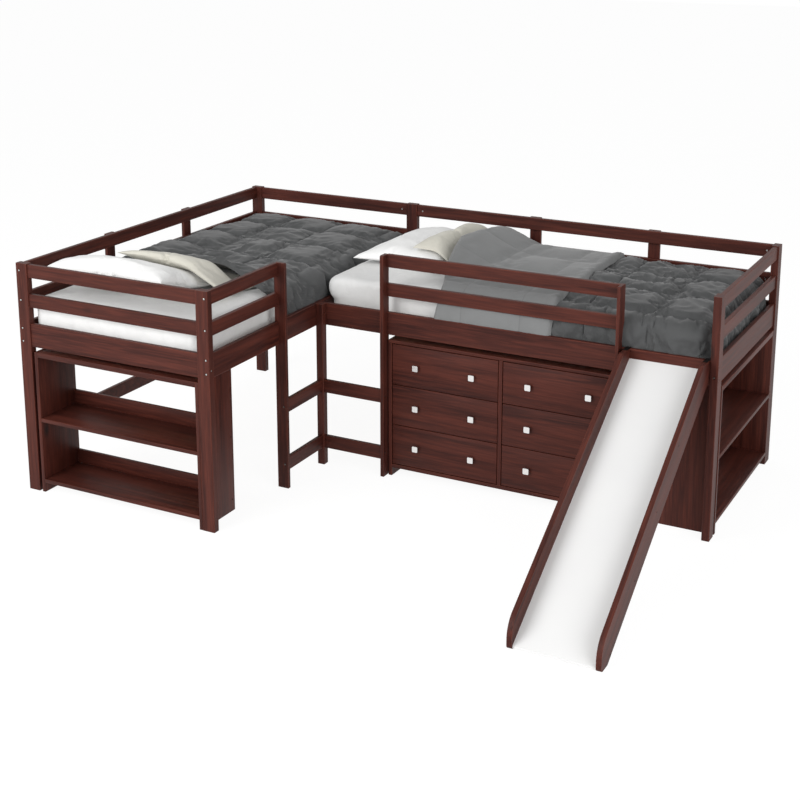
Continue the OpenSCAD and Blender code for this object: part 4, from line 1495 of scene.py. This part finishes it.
@dataclass
class Comforter:
    """A quilted comforter over one bed, with the part that is folded back on it."""

    side: str
    bed: Bed
    head: list[tuple[float, float]]
    free_edge: float | None
    seed: float
    bunch: float = 0.0
    growth: float = 0.11
    creases: float = 0.8
    thick: float = 0.022
    rise: float = 0.010
    hem: float = 0.016
    foot_hem: float = 0.010
    bend: float = 0.030
    lean: float = 0.16
    wall_inset: float = 0.008
    pitch: float = 0.0105
    laid: float = 0.002
    fold_lift: float = 0.008
    fold_growth: float = 0.006
    fold_start: float = 0.03
    tuck: float = 0.04
    roll: float = 0.012
    roll_from: float = 0.07
    waver: float = 0.016
    edge_rows: int = 3
    least: float = 0.004

    def head_edge(self, s: float) -> float:
        """Where the head edge lies at a distance over the cloth from the wall side.

        Args:
            s: That distance.

        Returns:
            The distance from the bed's middle toward the foot.
        """
        points = self.head
        if s <= points[0][0]:
            return points[0][1]
        for (s0, y0), (s1, y1) in zip(points, points[1:]):
            if s <= s1:
                return y0 + (y1 - y0) * (s - s0) / (s1 - s0)
        return points[-1][1]

    def edge_at(self, x: float) -> float:
        """Where the head edge lies at a distance from the bed's middle line."""
        return self.head_edge(x + self.bed.width / 2 - self.wall_inset)

    def place(self, s: float, t: float, lift: float, pile: Pile) -> tuple[Vector, Vector]:
        """A point of the comforter's underside and the way it faces.

        Args:
            s: Distance over the cloth from its wall side edge.
            t: Distance over the cloth from the bed's middle toward the foot.
            lift: Height of the underside above what it lies on.
            pile: What it lies on.

        Returns:
            The point and its outward normal, in the bed's own frame.
        """
        half, far = self.bed.width / 2, self.bed.length / 2
        radius = self.bend + lift
        s_flat = 2 * half - self.wall_inset - self.bend
        t_flat = far - self.bend
        x = -half + self.wall_inset + min(s, s_flat)
        y = min(t, t_flat)
        a, b = max(s - s_flat, 0.0), max(t - t_flat, 0.0)
        over = (a**6 + b**6) ** (1 / 6)
        raised = pile.at(x, y) + lift
        if over <= 0:
            wall = ramp(1 - s / 0.35) * ramp((0.9 - y) / 0.9)
            return Vector((x, y, raised + self.bunch * wall)), Vector((0, 0, 1))
        way = math.atan2(b, a)
        out = Vector((math.cos(way), math.sin(way), 0))
        angle = min(over / radius, math.pi / 2)
        hang = max(over - math.pi / 2 * radius, 0.0)
        down = radius * (1 - math.cos(angle)) + hang
        away = radius * math.sin(angle) + hang * self.lean
        at = Vector((x, y, raised - down)) + out * away
        return at, out * math.sin(angle) + Vector((0, 0, math.cos(angle)))

    def build(self, pile: Pile) -> None:
        """Models the comforter and its folded part in place of the CAD node.

        Args:
            pile: What the comforter lies on.
        """
        node = f"comforter_{self.side}"
        under = pile.draped(0.45, 8)
        base = self.layer(node + "_quilt", under, self.laid, None, self.growth)
        Microfibre("grey_microfibre").dress(base)
        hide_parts(node)
        pieces = [base]
        if self.free_edge is not None:
            name, lift = node + "_turned_back", self.fold_lift + self.thick
            flap = self.layer(name, under, lift, self.free_edge, self.fold_growth)
            # The lining is as soft as the face, in a lighter grey
            lining = Microfibre(
                "grey_microfibre_lining", "#6C6D6D", "#767777", "#505152", 0.3
            )
            pieces.append(lining.dress(flap))
        for piece in pieces:
            declared(piece)

    def layer(
        self, name: str, under: Pile, lift: float, end: float | None, growth: float
    ) -> bpy.types.Object:
        """Models one layer of the comforter.

        Args:
            name: The piece's name.
            under: What the comforter lies on.
            lift: Height of the layer's underside above that.
            end: Where its free edge lies, or None to go over the foot.
            growth: How much longer the cloth is than what it covers.

        Returns:
            The layer.
        """
        turned = end is not None
        high = self.bed.edge_high
        quarter = math.pi / 2 * (self.bend + lift) - self.bend
        girth = self.bed.width - self.wall_inset + quarter + high - self.hem - self.bend
        reach = self.bed.length / 2 + quarter + high - self.foot_hem - self.bend
        columns = round(girth / self.pitch)
        first = min(y for _, y in self.head)
        rows = round(((end if turned else reach) - first) / self.pitch)
        behind = 0.0 if turned or self.free_edge is None else self.fold_start
        low, ways, puffy, uv, held = [], [], [], [], []
        for i in range(rows + 1):
            for grid in (low, ways, puffy, uv):
                grid.append([])
            for j in range(columns + 1):
                s = girth * j / columns
                start = self.head_edge(s) + behind
                if turned:
                    stop = end + self.waver * noise.noise(Vector((s * 6, 0, 1)))
                else:
                    stop = reach
                t = start + (stop - start) * i / rows
                tuck = ramp(1 - (t - start) / self.tuck) if turned else 0.0
                point, out = self.place(s, t, lift * (1 - tuck) + self.laid * tuck, under)
                free = self.open_share(t)
                # Near its free edge the folded part is thicker, but not where it hangs
                near, calm, hidden = 0.0, free, 0.6 * (1 - free)
                if turned:
                    near = ramp(1 - (end - t) / self.roll_from) * ramp(out.z * 4 - 3)
                    calm, hidden = 0.15 + 0.75 * near, 0.0
                edge = self.edge_rows
                rim = min(min(i, rows - i) / edge, min(j, columns - j) / edge, 1.0)
                full = math.sqrt(rim * (2 - rim))
                puffed = self.rise * self.puff(s, t) * (0.3 + 0.7 * calm)
                swell = self.thick * 0.7 + puffed + lift * tuck + self.roll * near
                wave = calm * (0.35 + 0.65 * max(out.z, 0.0)) * self.wrinkle(s, t)
                low[i].append(point)
                ways[i].append(out)
                puffy[i].append(point + out * (swell + wave) * full)
                uv[i].append((s, t + UV_START))
                held.append(1.0 if rim < 0.5 else max(self.sewn(s, t) * 0.35, hidden))
        top = self.crumpled(puffy, held, growth)
        for i in range(rows + 1):
            for j in range(columns + 1):
                away = (top[i][j] - low[i][j]).dot(ways[i][j])
                least = self.least if min(i, rows - i, j, columns - j) else 0.0
                top[i][j] = top[i][j] + ways[i][j] * max(least - away, 0.0)
        place = self.bed.matrix()
        upper, lower = ([[place @ p for p in row] for row in grid] for grid in (top, low))
        return closed_shell(name, upper, lower, uv)

    def crumpled(self, grid: Grid, held: list[float], growth: float) -> Grid:
        """Lets the upper cloth crease, with its seams and edges held.

        Args:
            grid: Rows of points of the upper surface.
            held: How firmly each point is held.
            growth: How much longer the cloth is than the grid.

        Returns:
            The rows of points after it has settled.
        """
        rows, columns = len(grid), len(grid[0])
        faces = [
            (a, a + 1, a + columns + 1, a + columns)
            for i in range(rows - 1)
            for a in range(i * columns, i * columns + columns - 1)
        ]
        cloth = meshed("settling_cloth", [p for row in grid for p in row], faces)
        Settling(pressure=0.25, bending=0.02, cap=0.022, growth=growth).run(cloth, held)
        points = [vertex.co.copy() for vertex in cloth.data.vertices]
        bpy.data.objects.remove(cloth)
        return [points[i * columns : (i + 1) * columns] for i in range(rows)]

    def open_share(self, t: float) -> float:
        """How free the cloth is to crease, from 0 under the folded part to 1."""
        if self.free_edge is None:
            return 1.0
        return ramp((t - self.free_edge + 0.05) / 0.06)

    def wrinkle(self, s: float, t: float) -> float:
        """Height of the small wrinkles at a point, in metres, before it settles."""
        warp = noise.noise_vector(Vector((s * 4, t * 4, self.seed)))
        p = Vector((s * 13 + warp.x * 1.6, t * 13 + warp.y * 1.6, self.seed))
        ridge = 1 - abs(noise.noise(p)) * 2.4
        fine = 1 - abs(noise.noise(p * 2.1)) * 2.4
        return self.creases * (0.0065 * ridge + 0.0025 * fine - 0.003)

    def sewn(self, s: float, t: float) -> float:
        """How near a point is to a sewn line, from 0 to 1 on it."""
        half = SEWN_BOX / 2
        near = min(abs((place + half) % SEWN_BOX - half) for place in (s, t + UV_START))
        return max(0.0, 1 - near / 0.010)

    def puff(self, s: float, t: float) -> float:
        """How full a sewn box is at a point, from 0 on its seams to 1."""
        across = math.sin(math.pi * s / SEWN_BOX)
        return abs(across * math.sin(math.pi * (t + UV_START) / SEWN_BOX)) ** 0.5


@dataclass
class Bedding:
    """All that lies on one bed: mattress, two pillows and comforter."""

    side: str
    bed: Bed
    seed: float
    bulge: float
    white: Point
    cream: Point
    prop: float
    comforter: Comforter

    def build(self) -> None:
        """Lays the pieces one on another."""
        Mattress(f"mattress_{self.side}", self.bed, self.seed, self.bulge).build()
        pile = Pile(self.bed)
        white = Pillow(
            f"pillow_white_{self.side}",
            self.bed,
            self.white[:2],
            self.white[2],
            (0.72, 0.53),
            0.118,
            Cotton("white_cotton_case"),
            self.seed + 2,
            f"pillows_{self.side}",
            prop=self.prop,
        ).build(pile)
        pile.add(white)
        cream = Pillow(
            f"pillow_cream_{self.side}",
            self.bed,
            self.cream[:2],
            self.cream[2],
            (0.66, 0.52),
            0.088,
            Cotton("cream_cotton_case", "#D3D0C5", "#C6C3B7"),
            self.seed + 4,
            cover=self.comforter.edge_at,
        ).build(pile)
        covered = Pile(self.bed)
        covered.add(cream)
        self.comforter.build(covered)


def make_beds() -> None:
    """Makes both beds up."""
    left, right = Bed((0.495, -1.0205), 0), Bed((2.0085, -0.509), -90)
    edge = [(0.0, -0.30), (0.47, -0.32), (0.87, -0.43), (0.95, -0.44), (1.09, -0.24)]
    quilt = Comforter("left", left, edge, None, 3.0, 0.030, 0.09, 0.45)
    white, cream = (-0.09, -0.685, 3), (0.09, -0.385, -3)
    Bedding("left", left, 1.0, 0.0, white, cream, 0.105, quilt).build()
    edge = [(0.0, -0.39), (0.5, -0.45), (0.76, -0.40), (0.95, -0.33), (1.09, -0.356)]
    quilt = Comforter("right", right, edge, 0.262, 8.0)
    white, cream = (-0.09, -0.69, -2), (-0.10, -0.365, -4)
    Bedding("right", right, 2.0, 0.022, white, cream, 0.0, quilt).build()


def main() -> None:
    """Builds the studio and every piece around the frame."""
    logging.basicConfig(level=logging.INFO, format="%(message)s")
    # Without a seed the clock chooses the creases
    noise.seed_set(NOISE_SEED)
    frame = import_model()
    nodes = frame["nodes"]
    make_beds()
    Studio().build()
    PineFrame().dress(nodes)
    Fittings().dress(nodes)
    Drawers().build(nodes)
    Bookcase("bookcase_front", Grain.X, 31.0).build()
    Bookcase("bookcase_right", Grain.Y, 35.0).build()


if __name__ == "__main__":
    main()
